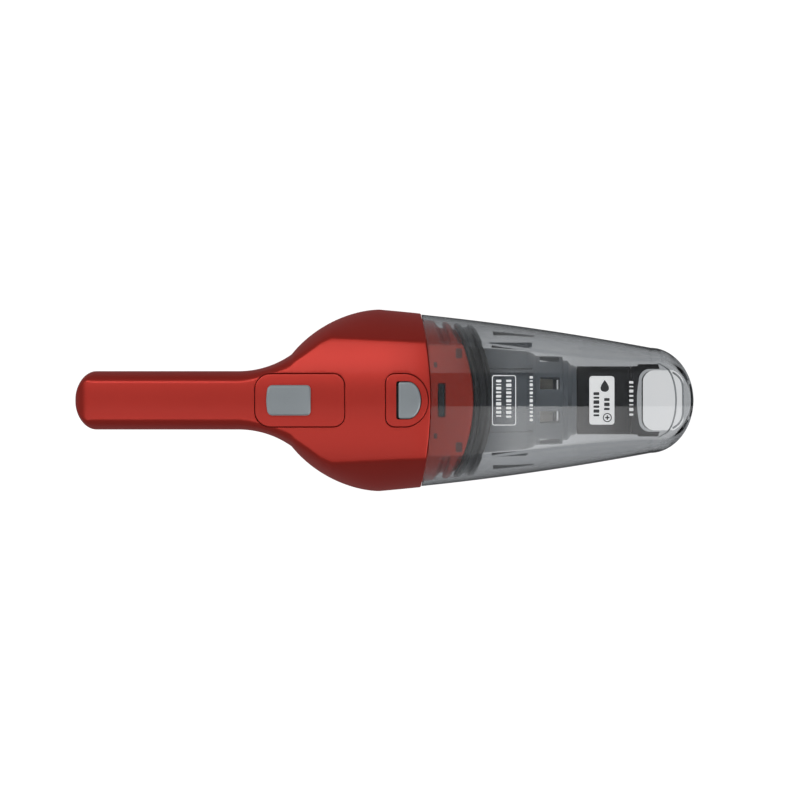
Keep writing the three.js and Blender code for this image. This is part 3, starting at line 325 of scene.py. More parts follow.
def half_shell(name, at, path, lift):
    """One housing half as a closed shell, with rolled edges at the parting line and the seam."""
    rings = []
    stations = [(s, 0.0) for s in BODY_STATIONS]
    stations += [(SEAM_X - back * MM, inset * MM) for back, inset in EDGE_ROLL]
    last = len(path) - 1
    for s, inset in stations:
        outside, inside = [], []
        full = clamp((s - REAR_X) / (3 * MM))
        inner_s = s
        if s < REAR_X + GRIP_ROUND:
            inner_s = mix(REAR_X + WALL, REAR_X + GRIP_ROUND, (s - REAR_X) / GRIP_ROUND)
        for i, u in enumerate(path):
            roll = RIM_ROLL.get(min(i, last - i), 0) * MM * full
            outside.append(on_form(at, s, u, inset + roll, seam_bow(s)))
            inside.append(on_form(at, inner_s, u, WALL, seam_bow(s), WALL))
        rim = waist_height(clamp(s, REAR_X + GRIP_ROUND, SEAM_X)) + lift * 0.2 * MM
        for point in outside + inside:
            point.z = max(point.z, rim) if lift > 0 else min(point.z, rim)
        rings.append(outside + inside[::-1])
    return loft(name, rings, walled=True)


upper_shell = half_shell("housing_upper_shell", upper_at, UPPER_PATH, 1)
lower_shell = half_shell("housing_lower_shell", lower_at, LOWER_PATH, -1)


def rounded_slot(x, half, z0, z1, y0, y1):
    """A cutter for an upright slot with round ends."""
    turns = even(0, math.pi, 8)
    ring = [(half * math.cos(a), z1 - half + half * math.sin(a)) for a in turns]
    ring += [(-half * math.cos(a), z0 + half - half * math.sin(a)) for a in turns]
    return loft("slot", [[Vector((x + px, y, pz)) for px, pz in ring] for y in (y0, y1)])


def shaft(x, y, radius, z0, z1, sides=40):
    return loft("shaft", [[Vector((x + radius * math.cos(a), y + radius * math.sin(a), z))
                           for a in full_turn(sides)] for z in (z0, z1)])


# Exhaust vents in the flanks, holes for the five screws, and a hole for the charge socket.
VENT_X = BULB_X - 20 * MM
VENT_STEP = 7 * MM
VENT_LOW, VENT_HIGH = 20 * MM, 38 * MM
BELOW = -10 * MM
for side in (-1, 1):
    for i in range(5):
        carve(lower_shell, rounded_slot(VENT_X + i * VENT_STEP, 1.3 * MM, VENT_LOW, VENT_HIGH,
                                        side * 30 * MM, side * 70 * MM))
SCREWS = [f"housing_screw_{number}" for number in range(1, 6)]
for screw in SCREWS:
    head_low, head_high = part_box(screw)
    middle = (head_low + head_high) / 2
    carve(lower_shell, shaft(middle.x, middle.y, 3.4 * MM, BELOW, head_low.z + 3 * MM))
carve(lower_shell, shaft(0, 0, 4.6 * MM, BELOW, 10 * MM))


class Value:
    """An output of a finish's nodes. Arithmetic on it adds Math nodes."""

    def __init__(self, finish, socket):
        self.finish, self.socket = finish, socket

    def math(self, operation, *others):
        inputs = dict(enumerate([self, *others]))
        return self.finish.node("Math", {"operation": operation}, inputs)

    def __add__(self, other):
        return self.math("ADD", other)

    __radd__ = __add__

    def __mul__(self, other):
        return self.math("MULTIPLY", other)

    __rmul__ = __mul__


class Finish:
    """A material whose look is worked out by nodes around one Principled shader."""

    def __init__(self, name, **fixed):
        self.material = bpy.data.materials.new(name)
        self.material.use_nodes = True
        self.tree = self.material.node_tree
        self.shader = self.tree.nodes["Principled BSDF"]
        self.set(**fixed)

    def set(self, **sockets):
        for name, value in sockets.items():
            self.feed(self.shader.inputs[name.replace("_", " ")], value)
        return self

    def feed(self, socket, value):
        if isinstance(value, Value):
            self.tree.links.new(value.socket, socket)
        else:
            socket.default_value = value

    def node(self, kind, settings=None, sockets=None, out=0):
        made = self.tree.nodes.new("ShaderNode" + kind)
        for name, value in (settings or {}).items():
            setattr(made, name, value)
        for name, value in (sockets or {}).items():
            self.feed(made.inputs[name], value)
        return Value(self, made.outputs[out])

    def place(self):
        return self.node("TexCoord", out="Object")

    def noise(self, scale, detail=2.0, place=None, roughness=0.5):
        sockets = {"Vector": place or self.place(), "Scale": scale, "Detail": detail}
        return self.node("TexNoise", None, {**sockets, "Roughness": roughness}, "Fac")

    def stretched(self, x, y, z):
        sockets = {0: self.place(), 1: (x, y, z)}
        return self.node("VectorMath", {"operation": "MULTIPLY"}, sockets)

    def tint(self, factor, low, high):
        sockets = {"Factor": factor, 6: low, 7: high}
        return self.node("Mix", {"data_type": "RGBA"}, sockets, 2)

    def bump(self, height, distance, strength=1.0):
        sockets = {"Height": height, "Distance": distance, "Strength": strength}
        return self.set(Normal=self.node("Bump", None, sockets, "Normal"))

    def on(self, *pieces):
        for made in pieces:
            made.data.materials.clear()
            made.data.materials.append(self.material)


def shade(red, green, blue):
    """A colour as a painter names it, 0 to 255, made linear."""

    def linear(value):
        value /= 255
        return value / 12.92 if value <= 0.04045 else ((value + 0.055) / 1.055) ** 2.4

    return linear(red), linear(green), linear(blue), 1


def lacquer(name, base):
    paint = Finish(name, Metallic=0.62, Coat_Weight=0.06, Coat_Roughness=0.1)
    paint.set(Specular_IOR_Level=0.15)
    pearl = paint.noise(2600, 2)
    drift = paint.noise(22, 3)
    tone = paint.tint(drift, shade(*base), shade(*(1.05 * c for c in base)))
    paint.set(Base_Color=paint.tint(pearl * 0.35, tone, shade(*(1.14 * c for c in base))))
    paint.set(Roughness=0.34 + 0.06 * drift + 0.04 * pearl)
    return paint.bump(paint.noise(520, 2), 0.03 * MM, 0.25)


RED = lacquer("red_lacquer", (171, 51, 43))
RED.on(upper_shell, lower_shell)


def belongs(body, slot, *pieces, to=None):
    """Pieces that move with a body; where a node is given, they stand in for it and the node is hidden.
    The slot is not used.
    """
    for made in pieces:
        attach(made, body)
    if to:
        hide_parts(to)


belongs("housing", "housing_red", upper_shell, to="upper_housing")
belongs("housing", "housing_red", lower_shell, to="lower_housing")

# ------------------------------------------------------------------------------------------------
# The switch panel and its power slider. The panel is an inset of the same red lacquer in a rounded
# opening of the roof, with a fine shadow line round it. The grey slider is moulded ABS with a
# bevelled edge, sits proud of the panel and is pushed towards the nozzle. Its mark is a plain ring.
panel_low, panel_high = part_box("switch_panel")
slider_low, slider_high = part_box("power_slider")
PANEL_GAP = 0.32 * MM
PANEL_HALF = 16.2 * MM
PANEL_OPENING = 9 * MM


def roof_at(x, y, inset=0.0):
    return heights(x, inset)[0] - y * y / (2 * CROWN_RADIUS)


def spread(corners, count):
    """Evenly spaced points along a closed path, each with the direction that points out of it."""
    loop = corners + corners[:1]
    runs = [math.dist(a, b) for a, b in zip(loop, loop[1:])]
    total = sum(runs)
    spaced, i, passed = [], 0, 0.0
    for k in range(count):
        goal = total * k / count
        while passed + runs[i] < goal:
            passed += runs[i]
            i += 1
        t = (goal - passed) / runs[i] if runs[i] else 0.0
        spaced.append((mix(loop[i][0], loop[i + 1][0], t), mix(loop[i][1], loop[i + 1][1], t)))
    outline = []
    for k, (x, y) in enumerate(spaced):
        before, after = spaced[k - 1], spaced[(k + 1) % count]
        tangent = Vector((after[0] - before[0], after[1] - before[1])).normalized()
        outline.append((x, y, tangent.y, -tangent.x))
    return outline


def corner_arc(x, y, radius, start, steps=12):
    turns = even(math.radians(start), math.radians(start + 90), steps)
    return [(x + radius * math.cos(a), y + radius * math.sin(a)) for a in turns]


def rounded_outline(x0, x1, half, rear_radius, front_radius, bulge=0.0, count=160):
    """A rectangle with round corners, anticlockwise from above; its rear side may bulge."""
    a, b = rear_radius, front_radius
    corners = corner_arc(x1 - b, half - b, b, 0) + corner_arc(x0 + a, half - a, a, 90)
    for t in even(0, 1, 12)[1:-1]:
        corners.append((x0 - bulge * 4 * t * (1 - t), mix(half - a, a - half, t)))
    corners += corner_arc(x0 + a, a - half, a, 180) + corner_arc(x1 - b, b - half, b, 270)
    return spread(corners, count)


def d_outline(x0, x1, half, radius, count=160):
    """A flat rear side with round corners, and half an ellipse in front."""
    middle = mix(x0, x1, 0.45)
    turns = even(-math.pi / 2, math.pi / 2, 40)
    corners = [(middle + (x1 - middle) * math.cos(a), half * math.sin(a)) for a in turns]
    corners += corner_arc(x0 + radius, half - radius, radius, 90)
    corners += corner_arc(x0 + radius, radius - half, radius, 180)
    return spread(corners, count)


def inlay(name, outline, profile, height=roof_at, dish=0.0, smooth_angle=50):
    """A plate that follows the roof. The profile lists its edge from below as (margin, rise)."""
    cx = sum(x for x, _, _, _ in outline) / len(outline)
    cy = sum(y for _, y, _, _ in outline) / len(outline)
    rings = []

    def ring(margin, lift, share):
        points = []
        for x, y, nx, ny in outline:
            px, py = cx + (x + nx * margin - cx) * share, cy + (y + ny * margin - cy) * share
            sink = dish * (1 - share * share)
            points.append(Vector((px, py, height(px, py) + lift - sink)))
        return points

    low_margin, low_lift = profile[0]
    top_margin, top_lift = profile[-1]
    for share in (0.02, 0.4, 0.75):
        rings.append(ring(low_margin, low_lift, share))
    for margin, lift in profile:
        rings.append(ring(margin, lift, 1.0))
    for share in (0.97, 0.9, 0.8, 0.68, 0.54, 0.4, 0.26, 0.12, 0.02):
        rings.append(ring(top_margin, top_lift, share))
    return loft(name, rings, smooth_angle)


def opening(outline, depth, roll=0.45 * MM, margin=0.0):
    """A cutter for a hole in the roof whose upper edge is rolled over."""
    profile = [(margin, -depth), (margin, -roll)]
    profile += [(margin + roll * (1 - math.cos(a)), -roll * (1 - math.sin(a)))
                for a in even(0, math.pi / 2, 5)[1:-1]]
    profile += [(margin + roll, 0.01 * MM), (margin + roll + 0.02 * MM, 3 * MM)]
    return inlay("cutter", outline, profile)


def rolled(roll, depth, top=0.0, steps=5):
    """An edge profile that comes up from a depth and rolls over to the top."""
    turn = [(-roll * (1 - math.cos(a)), top - roll * (1 - math.sin(a)))
            for a in even(0, math.pi / 2, steps)]
    return [(0.0, top - depth), *turn]


switch_outline = rounded_outline(panel_low.x, panel_high.x, PANEL_HALF, 9.5 * MM, 6.8 * MM)
carve(upper_shell, opening(switch_outline, PANEL_OPENING, margin=PANEL_GAP))
INSET_EDGE = rolled(0.5 * MM, 2.2 * MM, -0.15 * MM)
switch_inset = inlay("switch_inset", switch_outline, INSET_EDGE)
SLIDER_BULGE = 0.5 * MM
slider_rest = rounded_outline(slider_low.x + SLIDER_BULGE, slider_high.x, 9.3 * MM, 3.4 * MM,
                              2.6 * MM, bulge=SLIDER_BULGE)
SLIDER_TOP = 2.05 * MM
slider_cap = inlay(
    "slider_cap",
    slider_rest,
    [(-0.55 * MM, 0.12 * MM), (-0.45 * MM, 0.5 * MM), (0.0, 0.75 * MM), (0.0, 1.25 * MM),
     (-0.12 * MM, 1.5 * MM), (-0.9 * MM, SLIDER_TOP - 0.08 * MM), (-1.15 * MM, SLIDER_TOP)],
    dish=0.25 * MM,
    smooth_angle=30,
)


def arc_mark(name, x, y, radius, width, start, sweep, base, height=roof_at, proud=0.12 * MM):
    """A raised stroke along an arc, its edges rolled into the surface that carries it."""
    rings = []
    steps = max(8, int(sweep / 8))
    section = [(-0.5, -0.3), (-0.42, 0.5), (-0.2, 0.95), (0, 1), (0.2, 0.95), (0.42, 0.5), (0.5, -0.3)]
    for a in even(math.radians(start), math.radians(start + sweep), steps):
        ring = []
        for across, up in section:
            r = radius + across * width
            px, py = x + r * math.cos(a), y + r * math.sin(a)
            ring.append(Vector((px, py, height(px, py) + base + up * proud)))
        rings.append(ring)
    return loft(name, rings, 60)


SLIDER_MIDDLE = (slider_low.x + slider_high.x) / 2 + 0.6 * MM
slider_marks = [
    arc_mark("slider_ring", SLIDER_MIDDLE, 0, 3.4 * MM, 0.55 * MM, 35, 290, SLIDER_TOP - 0.3 * MM),
    arc_mark("slider_dot", SLIDER_MIDDLE, 0, 1.5 * MM, 0.5 * MM, 60, 240, SLIDER_TOP - 0.3 * MM),
]


def moulded(name, tone, roughness, grain=900, depth=0.02, **fixed):
    """Injection-moulded plastic: a fine even grain, a slight drift of tone and of gloss."""
    plastic = Finish(name, **fixed)
    drift = plastic.noise(35, 3)
    fine = plastic.noise(grain * 2, 2)
    deep = tuple(0.86 * c for c in tone[:3]) + (1,)
    pale = tuple(min(1, 1.08 * c) for c in tone[:3]) + (1,)
    plastic.set(Base_Color=plastic.tint(0.7 * drift + 0.3 * fine, deep, pale))
    plastic.set(Roughness=roughness - 0.05 + 0.06 * drift + 0.05 * fine)
    return plastic.bump(plastic.noise(grain, 3), depth * MM, 0.4)


GREY = moulded("switch_grey", shade(152, 159, 163), 0.34, Metallic=0.2)
RED.on(upper_shell, switch_inset)
GREY.on(slider_cap, *slider_marks)
belongs("housing", "housing_red", switch_inset, to="switch_panel")
belongs("power_switch", "trim_grey", slider_cap, to="power_slider")
belongs("power_switch", "trim_grey", *slider_marks)

# ------------------------------------------------------------------------------------------------
# The release panel and its button. A second inset of the roof, flat behind and round in front,
# with a D-shaped well. The grey button stands in the well on a sprung latch arm and is pressed
# down to let the bowl go; the well is open behind it, where the arm bends.
release_low, release_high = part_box("release_panel")
button_low, button_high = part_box("release_button")
WELL_BEHIND = 1.4 * MM
WELL_ROOM = 0.45 * MM

release_outline = d_outline(release_low.x, release_high.x, PANEL_HALF, 5.5 * MM)
well_outline = d_outline(button_low.x - WELL_BEHIND, button_high.x + WELL_ROOM,
                         button_high.y + WELL_ROOM, 1.4 * MM)
button_outline = d_outline(button_low.x, button_high.x, button_high.y, 1.3 * MM)
carve(upper_shell, opening(release_outline, PANEL_OPENING, margin=PANEL_GAP))
RED.on(upper_shell)
release_inset = inlay("release_inset", release_outline, INSET_EDGE)
carve(release_inset, opening(well_outline, 6 * MM, roll=0.3 * MM))
button_cap = inlay(
    "button_cap",
    button_outline,
    [(-0.3 * MM, -3.5 * MM), (0.0, -3.2 * MM), (0.0, -0.55 * MM), (-0.15 * MM, -0.2 * MM),
     (-0.85 * MM, 0.12 * MM), (-1.1 * MM, 0.16 * MM)],
    dish=-0.02 * MM,
    smooth_angle=30,
)
well_floor = inlay("well_floor", well_outline, [(0.6 * MM, -7.4 * MM), (0.6 * MM, -6.4 * MM)])
button_marks = [
    arc_mark("button_ring", 12.4 * MM, -3.6 * MM, 1.5 * MM, 0.4 * MM, 30, 300, 0.1 * MM),
    arc_mark("button_dot", 12.4 * MM, 3.4 * MM, 1.1 * MM, 0.4 * MM, 0, 350, 0.1 * MM),
]
BLACK = moulded("latch_black", shade(30, 32, 36), 0.42)
RED.on(release_inset)
GREY.on(button_cap, *button_marks)
BLACK.on(well_floor)
belongs("housing", "housing_red", release_inset, to="release_panel")
belongs("release", "trim_grey", button_cap, to="release_button")
belongs("housing", "inner_black", well_floor)
belongs("release", "trim_grey", *button_marks)

# ------------------------------------------------------------------------------------------------
# The nose: the housing's red front end, which plugs into the bowl. Its flanks carry a groove and a
# round bead that guide the bowl on; its roof has the latch slot and four small lands. The front
# wall is a grille that the fan draws through.
NOSE_LENGTH = 26.1 * MM
NOSE_X = SEAM_X + NOSE_LENGTH
NOSE_BOW = 1 / (2 * 90 * MM)
AXIS_HEIGHT = 52 * MM
NOSE_INSET = 3.2 * MM
BEAD_AT = 47.4 * MM
BEAD_RADIUS = 3.4 * MM
GROOVE_DEPTH = 4.2 * MM
NOSE_WALL = 2.4 * MM
NOSE_FLOOR = 2.6 * MM
FLANK_FROM, FLANK_TO = 33 * MM, 41 * MM
GROOVE_FROM, GROOVE_TO = 36 * MM, 41 * MM
NOSE_ROUND = 1 * MM
GRILLE_RADIUS = 15 * MM
GRILLE_HOLE = 5.6 * MM
TOP = BODY_HEIGHT + 5 * MM
RING_PATH = [u / 2 for u in UPPER_PATH[3:-3]] + [0.5 + u / 2 for u in even(0.02, 0.98, 46)]


def nose_bow(s):
    return mix(SEAM_BOW, NOSE_BOW, clamp((s - SEAM_X) / (NOSE_X - SEAM_X)))


def guide(s):
    """How far the flank lies behind the nose's own surface at a station."""
    depth = GROOVE_DEPTH * rise(s, GROOVE_FROM, GROOVE_TO)
    across = (s - BEAD_AT) / BEAD_RADIUS
    if abs(across) < 1:
        depth -= (GROOVE_DEPTH + 0.1 * MM) * math.sqrt(1 - across * across)
    return depth


def nose_ring(s, back=0.0):
    ring = []
    for u in RING_PATH:
        plain = on_form(whole_at, s, u, NOSE_INSET + back, nose_bow(s), NOSE_FLOOR)
        flank = rise(abs(plain.y), FLANK_FROM, FLANK_TO)
        deep = NOSE_INSET + back + flank * guide(s)
        ring.append(on_form(whole_at, s, u, deep, nose_bow(s), NOSE_FLOOR))
    return ring


def shrunk(ring, bow, s, share, middle=AXIS_HEIGHT):
    """The ring drawn in towards the axis on the same bowed face."""
    drawn = []
    for point in ring:
        y, z = point.y * share, middle + (point.z - middle) * share
        drawn.append(Vector((s - bow * y * y, y, z)))
    return drawn


def rod(x0, x1, radius, y, z, sides=48):
    return loft("rod", [[Vector((x, y + radius * math.cos(a), z + radius * math.sin(a)))
                         for a in full_turn(sides)] for x in (x0, x1)])


def post(outline, z0, z1):
    """An outline seen from above, pulled straight up."""
    return loft("post", [[Vector((x, y, z)) for x, y, _, _ in outline] for z in (z0, z1)])


nose_rings = [nose_ring(s) for s in even(SEAM_X - 16 * MM, NOSE_X - NOSE_ROUND, 84)]
nose_rings += [nose_ring(NOSE_X - NOSE_ROUND * (1 - math.sin(a)), NOSE_ROUND * (1 - math.cos(a)))
               for a in even(0.2, math.pi / 2, 5)]
face = nose_rings[-1]
nose_rings += [shrunk(face, NOSE_BOW, NOSE_X, share) for share in (0.9, 0.75, 0.6, 0.4, 0.2, 0.02)]
nose = loft("nose", nose_rings)
hollow_rings = [
    [on_form(whole_at, s, u, NOSE_INSET + NOSE_WALL + GROOVE_DEPTH * 0.9, nose_bow(s), 5 * MM)
     for u in RING_PATH]
    for s in even(SEAM_X - 20 * MM, NOSE_X - 2.5 * MM, 24)
]
carve(nose, loft("hollow", hollow_rings))
carve(nose, rod(SEAM_X, NOSE_X + 5 * MM, 6 * MM, 0, AXIS_HEIGHT))
for turn in range(6):
    a = turn * math.pi / 3
    carve(nose, rod(SEAM_X, NOSE_X + 5 * MM, GRILLE_HOLE, GRILLE_RADIUS * math.cos(a),
                    AXIS_HEIGHT + GRILLE_RADIUS * math.sin(a)))
latch_slot = rounded_outline(31.6 * MM, 36.4 * MM, 10.4 * MM, 0.8 * MM, 0.8 * MM)
button_room = rounded_outline(0, SEAM_X - 0.8 * MM, 20 * MM, 2 * MM, 2 * MM)
carve(nose, post(latch_slot, 92 * MM, BODY_HEIGHT), post(button_room, 86 * MM, TOP))
nose.data.validate()
# Painted light: the nose's lacquer is a brighter, redder copy of the body's red. It stands in for the
# light the nose lacks behind the smoked bowl.
NOSE_RED_PAINTED_LIGHT = lacquer("nose_red_painted_light", (192, 52, 30))
NOSE_RED_PAINTED_LIGHT.on(nose)


def nose_roof(x, y):
    return roof_at(x, y, NOSE_INSET)


def land(name, x0, x1, y, half, proud):
    outline = [(px, py + y, nx, ny) for px, py, nx, ny in
               rounded_outline(x0, x1, half, 0.7 * MM, 0.7 * MM, count=60)]
    return inlay(name, outline, [(0, -0.8 * MM), (0, proud - 0.2 * MM), (-0.2 * MM, proud)], nose_roof)


lands = []
for side, word in ((1, "left"), (-1, "right")):
    lands.append(land(f"nose_stop_{word}", 29.2 * MM, 31.4 * MM, side * 21.6 * MM, 1.7 * MM, 0.35 * MM))
    lands.append(land(f"nose_pad_{word}", 42.6 * MM, 46.6 * MM, side * 28.5 * MM, 3.0 * MM, 0.3 * MM))
BROWN = moulded("pad_brown", shade(128, 44, 30), 0.5)
BROWN.on(*lands)
belongs("housing", "housing_red", nose, to="filter_bulkhead")
belongs("housing", "inner_black", *lands)

# ------------------------------------------------------------------------------------------------
# The seal ring: black nitrile rubber, pushed over the filter's frame. Two round lips with a groove
# between them wipe against the bowl's inside, and both follow the nose's curved front edge.
SEAL_LENGTH = 11.5 * MM
SEAL_START = NOSE_X + 0.35 * MM
LIP = 1.9 * MM
SEAL_INNER = 6.3 * MM
SEAL_GAP = 0.3 * MM
BOWL_WALL = 2.2 * MM


def lip_depth(t):
    """The seal's surface across its width, t from 0 to 1: lip, groove, lip."""
    first = max(0.0, 1 - ((t - 0.17) / 0.17) ** 2) ** 0.5
    second = max(0.0, 1 - ((t - 0.83) / 0.17) ** 2) ** 0.5
    return LIP * (1 - max(first, second))


def seal_ring(t, inset):
    """One ring of the seal at a share of its width, flattened along the belly."""
    s = SEAL_START + t * SEAL_LENGTH
    return [on_form(whole_at, s, u, inset, NOSE_BOW, inset - STEP) for u in RING_PATH]


seal_rings = []
for t in [0, 0.004, 0.02, 0.045, *even(0.07, 0.93, 30), 0.955, 0.98, 0.996, 1]:
    seal_rings.append(seal_ring(t, STEP + BOWL_WALL + SEAL_GAP + lip_depth(t)))
seal_rings += [seal_ring(t, SEAL_INNER) for t in (1, 0.5, 0)]
seal = loft("seal_lips", seal_rings, looped=True)
RUBBER = moulded("nitrile_rubber", shade(14, 22, 27), 0.30, grain=1400, depth=0.04)
RUBBER.on(seal)
belongs("filter", "rubber_black", seal, to="seal_ring")

# ------------------------------------------------------------------------------------------------
# The prefilter cup: grey ABS, turned in form, pushed onto the filter's frame. A wide barrel with six
# ribs steps down over a chamfer to a windowed neck, then to the snout and its rim.
cup_low, cup_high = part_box("prefilter_cup")
CUP_X, CUP_END_X = cup_low.x, cup_high.x
CUP_RADIUS = 35 * MM
CUP_SHOULDER = CUP_X + 25.8 * MM
CUP_WALL = 1.6 * MM
NECK_RADIUS = 27.5 * MM
SNOUT_RADIUS = 24.3 * MM
RIM_RADIUS = 20.9 * MM
RIB_HALF = 0.9 * MM
RIB_ANGLES = (35, -35, 150, 210, 270, 330)
WINDOW_HALF = 4 * MM


def filleted(profile, radius, steps=4):
    """A closed profile of (x, r) points with every corner rounded."""
    rounded = []
    count = len(profile)
    for i in range(count):
        before, here, after = (Vector(profile[k % count]) for k in (i - 1, i, i + 1))
        reach = min(radius, 0.45 * (before - here).length, 0.45 * (after - here).length)
        start = here + (before - here).normalized() * reach
        end = here + (after - here).normalized() * reach
        for t in even(0, 1, steps):
            rounded.append(start * (1 - t) ** 2 + here * 2 * t * (1 - t) + end * t * t)
    return rounded


def lathe(name, profile, radius=0.5 * MM, sides=128, smooth_angle=38):
    """A body turned about the fan's axis from a closed profile of (x, r)."""
    rings = [[Vector((x, r * math.cos(a), AXIS_HEIGHT + r * math.sin(a))) for a in full_turn(sides)]
             for x, r in filleted(profile, radius)]
    return loft(name, rings, smooth_angle, looped=True)


def block(x0, x1, y0, y1, z0, z1):
    corners = [(x0, y0), (x1, y0), (x1, y1), (x0, y1)]
    return loft("block", [[Vector((x, y, z)) for x, y in corners] for z in (z0, z1)])


def turned_about(made, angle):
    """The piece turned about the fan's axis, from straight above it."""
    for v in made.data.vertices:
        y, z = v.co.y, v.co.z - AXIS_HEIGHT
        v.co.y = y * math.cos(angle) - z * math.sin(angle)
        v.co.z = AXIS_HEIGHT + y * math.sin(angle) + z * math.cos(angle)
    return made


cup = lathe("prefilter_shell", [
    (CUP_X, CUP_RADIUS),
    (CUP_SHOULDER, CUP_RADIUS - 1 * MM),
    (CUP_SHOULDER + 5.7 * MM, NECK_RADIUS),
    (CUP_END_X - 8.3 * MM, NECK_RADIUS),
    (CUP_END_X - 8.3 * MM, SNOUT_RADIUS),
    (CUP_END_X - 5.3 * MM, SNOUT_RADIUS),
    (CUP_END_X - 2.8 * MM, RIM_RADIUS),
    (CUP_END_X, RIM_RADIUS),
    (CUP_END_X, RIM_RADIUS - 2 * MM),
    (CUP_END_X - 1.6 * MM, RIM_RADIUS - 2 * MM),
    (CUP_END_X - 2 * MM, 0.4 * MM),
    (CUP_END_X - 4 * MM, 0.4 * MM),
    (CUP_END_X - 4.6 * MM, RIM_RADIUS - CUP_WALL),
    (CUP_END_X - 6.6 * MM, SNOUT_RADIUS - CUP_WALL),
    (CUP_SHOULDER + 5 * MM, NECK_RADIUS - CUP_WALL),
    (CUP_SHOULDER - 1 * MM, CUP_RADIUS - 1 * MM - CUP_WALL),
    (CUP_X, CUP_RADIUS - CUP_WALL),
])
for angle in RIB_ANGLES:
    rib = block(CUP_X + 3 * MM, CUP_SHOULDER + 3.5 * MM, -RIB_HALF, RIB_HALF,
                AXIS_HEIGHT + CUP_RADIUS - 2.4 * MM, AXIS_HEIGHT + CUP_RADIUS + 0.6 * MM)
    carve(cup, turned_about(rib, math.radians(angle)), how="UNION")
for turn in range(8):
    window = block(CUP_SHOULDER + 8 * MM, CUP_END_X - 10.5 * MM, -WINDOW_HALF, WINDOW_HALF,
                   AXIS_HEIGHT + NECK_RADIUS - 6 * MM, AXIS_HEIGHT + NECK_RADIUS + 4 * MM)
    carve(cup, turned_about(window, math.radians(22.5 + 45 * turn)))
CUP_GREY = moulded("cup_grey", shade(122, 129, 135), 0.30)
CUP_GREY.on(cup)
belongs("prefilter", "cup_grey", cup, to="prefilter_cup")

# ------------------------------------------------------------------------------------------------
# The inlet duct: black ABS, clipped to the bowl's floor. A flat-topped channel leads the dust from
# the open scoop behind the mouth back to the flap, and two clips hold it at the scoop.
DUCT_X = CUP_END_X + 1 * MM
DUCT_HALF = 20.9 * MM
DUCT_WALL = 1.6 * MM
DUCT_FLOOR = 3.4 * MM
DUCT_ROOF = 27.4 * MM
DUCT_ROUND = 2.2 * MM
PASSAGE_HALF = DUCT_HALF - DUCT_WALL
BOWL_GAP = 0.4 * MM
BLEND_X = SEAM_X + 45 * MM
WINDOW_X = TIP_X - 35.3 * MM
SCOOP_END_X = WINDOW_X + 13 * MM


def front_stations(inset):
    nozzle = [NOZZLE_X + (NOZZLE_ROUND - inset) * math.sin(a) for a in even(0, math.radians(88.5), 26)]
    return [*even(BLEND_X, NOZZLE_X, 50)[1:-1], *nozzle]


def front_body(inset, start, ground):
    """The bowl's form as a closed body, from a curved rear face to the tip of the nozzle."""
    rings = []
    for s in even(start, BLEND_X, 34):
        bow = SEAM_BOW * (1 - rise(s, SEAM_X, BLEND_X))
        rings.append([on_form(whole_at, s, u, inset, bow, ground) for u in RING_PATH])
    for s in front_stations(inset):
        rings.append([on_form(whole_at, s, u, inset, 0, ground) for u in RING_PATH])
    return loft("front_body", rings)


def behind_mouth(back):
    """Everything behind the slanted face of the mouth, moved back by a distance."""
    shift = back * math.sqrt(1 + 1 / MOUTH_SLOPE**2)
    corners = [(MOUTH_X + z / MOUTH_SLOPE - shift, z) for z in (-30 * MM, 150 * MM)]
    corners += [(REAR_X, 150 * MM), (REAR_X, -30 * MM)]
    rings = [[Vector((x, y, z)) for x, z in corners] for y in (-BODY_HALF * 2, BODY_HALF * 2)]
    return loft("behind_mouth", rings)


def duct_section(x, half, z0, z1, radius):
    corners = [(half - radius, z1 - radius, 0), (radius - half, z1 - radius, 90),
               (radius - half, z0 + radius, 180), (half - radius, z0 + radius, 270)]
    ring = []
    for y, z, start in corners:
        ring += [Vector((x, py, pz)) for py, pz in corner_arc(y, z, radius, start, 6)]
    return ring


ROUND_EDGE = [(0.0, 0.8), (0.1, 0.45), (0.35, 0.15), (0.8, 0.0)]
channel_rings = [
    duct_section(DUCT_X + along * MM, DUCT_HALF - cut * MM, DUCT_FLOOR + cut * MM,
                 DUCT_ROOF - cut * MM, DUCT_ROUND)
    for along, cut in ROUND_EDGE
]
channel_rings.append(duct_section(WINDOW_X + 1 * MM, DUCT_HALF, DUCT_FLOOR, DUCT_ROOF, DUCT_ROUND))
channel = loft("duct_channel", channel_rings)
scoop_outline = rounded_outline(WINDOW_X - 5 * MM, SCOOP_END_X, DUCT_HALF, 2 * MM, 1.5 * MM)
carve(channel, post(scoop_outline, DUCT_FLOOR, BODY_HEIGHT), how="UNION")
clip_outline = rounded_outline(WINDOW_X, WINDOW_X + 12.9 * MM, 1.3 * MM, 1 * MM, 1 * MM)
for side in (-1, 1):
    clip = [(x, y + side * (DUCT_HALF + 0.3 * MM), nx, ny) for x, y, nx, ny in clip_outline]
    carve(channel, post(clip, DUCT_ROOF - 6 * MM, DUCT_ROOF + 6 * MM), how="UNION")
carve(channel, front_body(STEP + BOWL_WALL + BOWL_GAP, SEAM_X, DUCT_FLOOR), how="INTERSECT")
carve(channel, behind_mouth(BOWL_WALL + BOWL_GAP), how="INTERSECT")
passage = loft("passage", [
    duct_section(x, PASSAGE_HALF, DUCT_FLOOR + DUCT_WALL, DUCT_ROOF - DUCT_WALL, 1 * MM)
    for x in (DUCT_X - 5 * MM, WINDOW_X + 4 * MM)
])
window_outline = rounded_outline(WINDOW_X, TIP_X + 20 * MM, PASSAGE_HALF, 7 * MM, 7 * MM,
                                 bulge=1.2 * MM)
carve(channel, passage, post(window_outline, BELOW, BODY_HEIGHT))
BLACK.on(channel)
belongs("bowl", "duct_black", channel, to="inlet_duct")

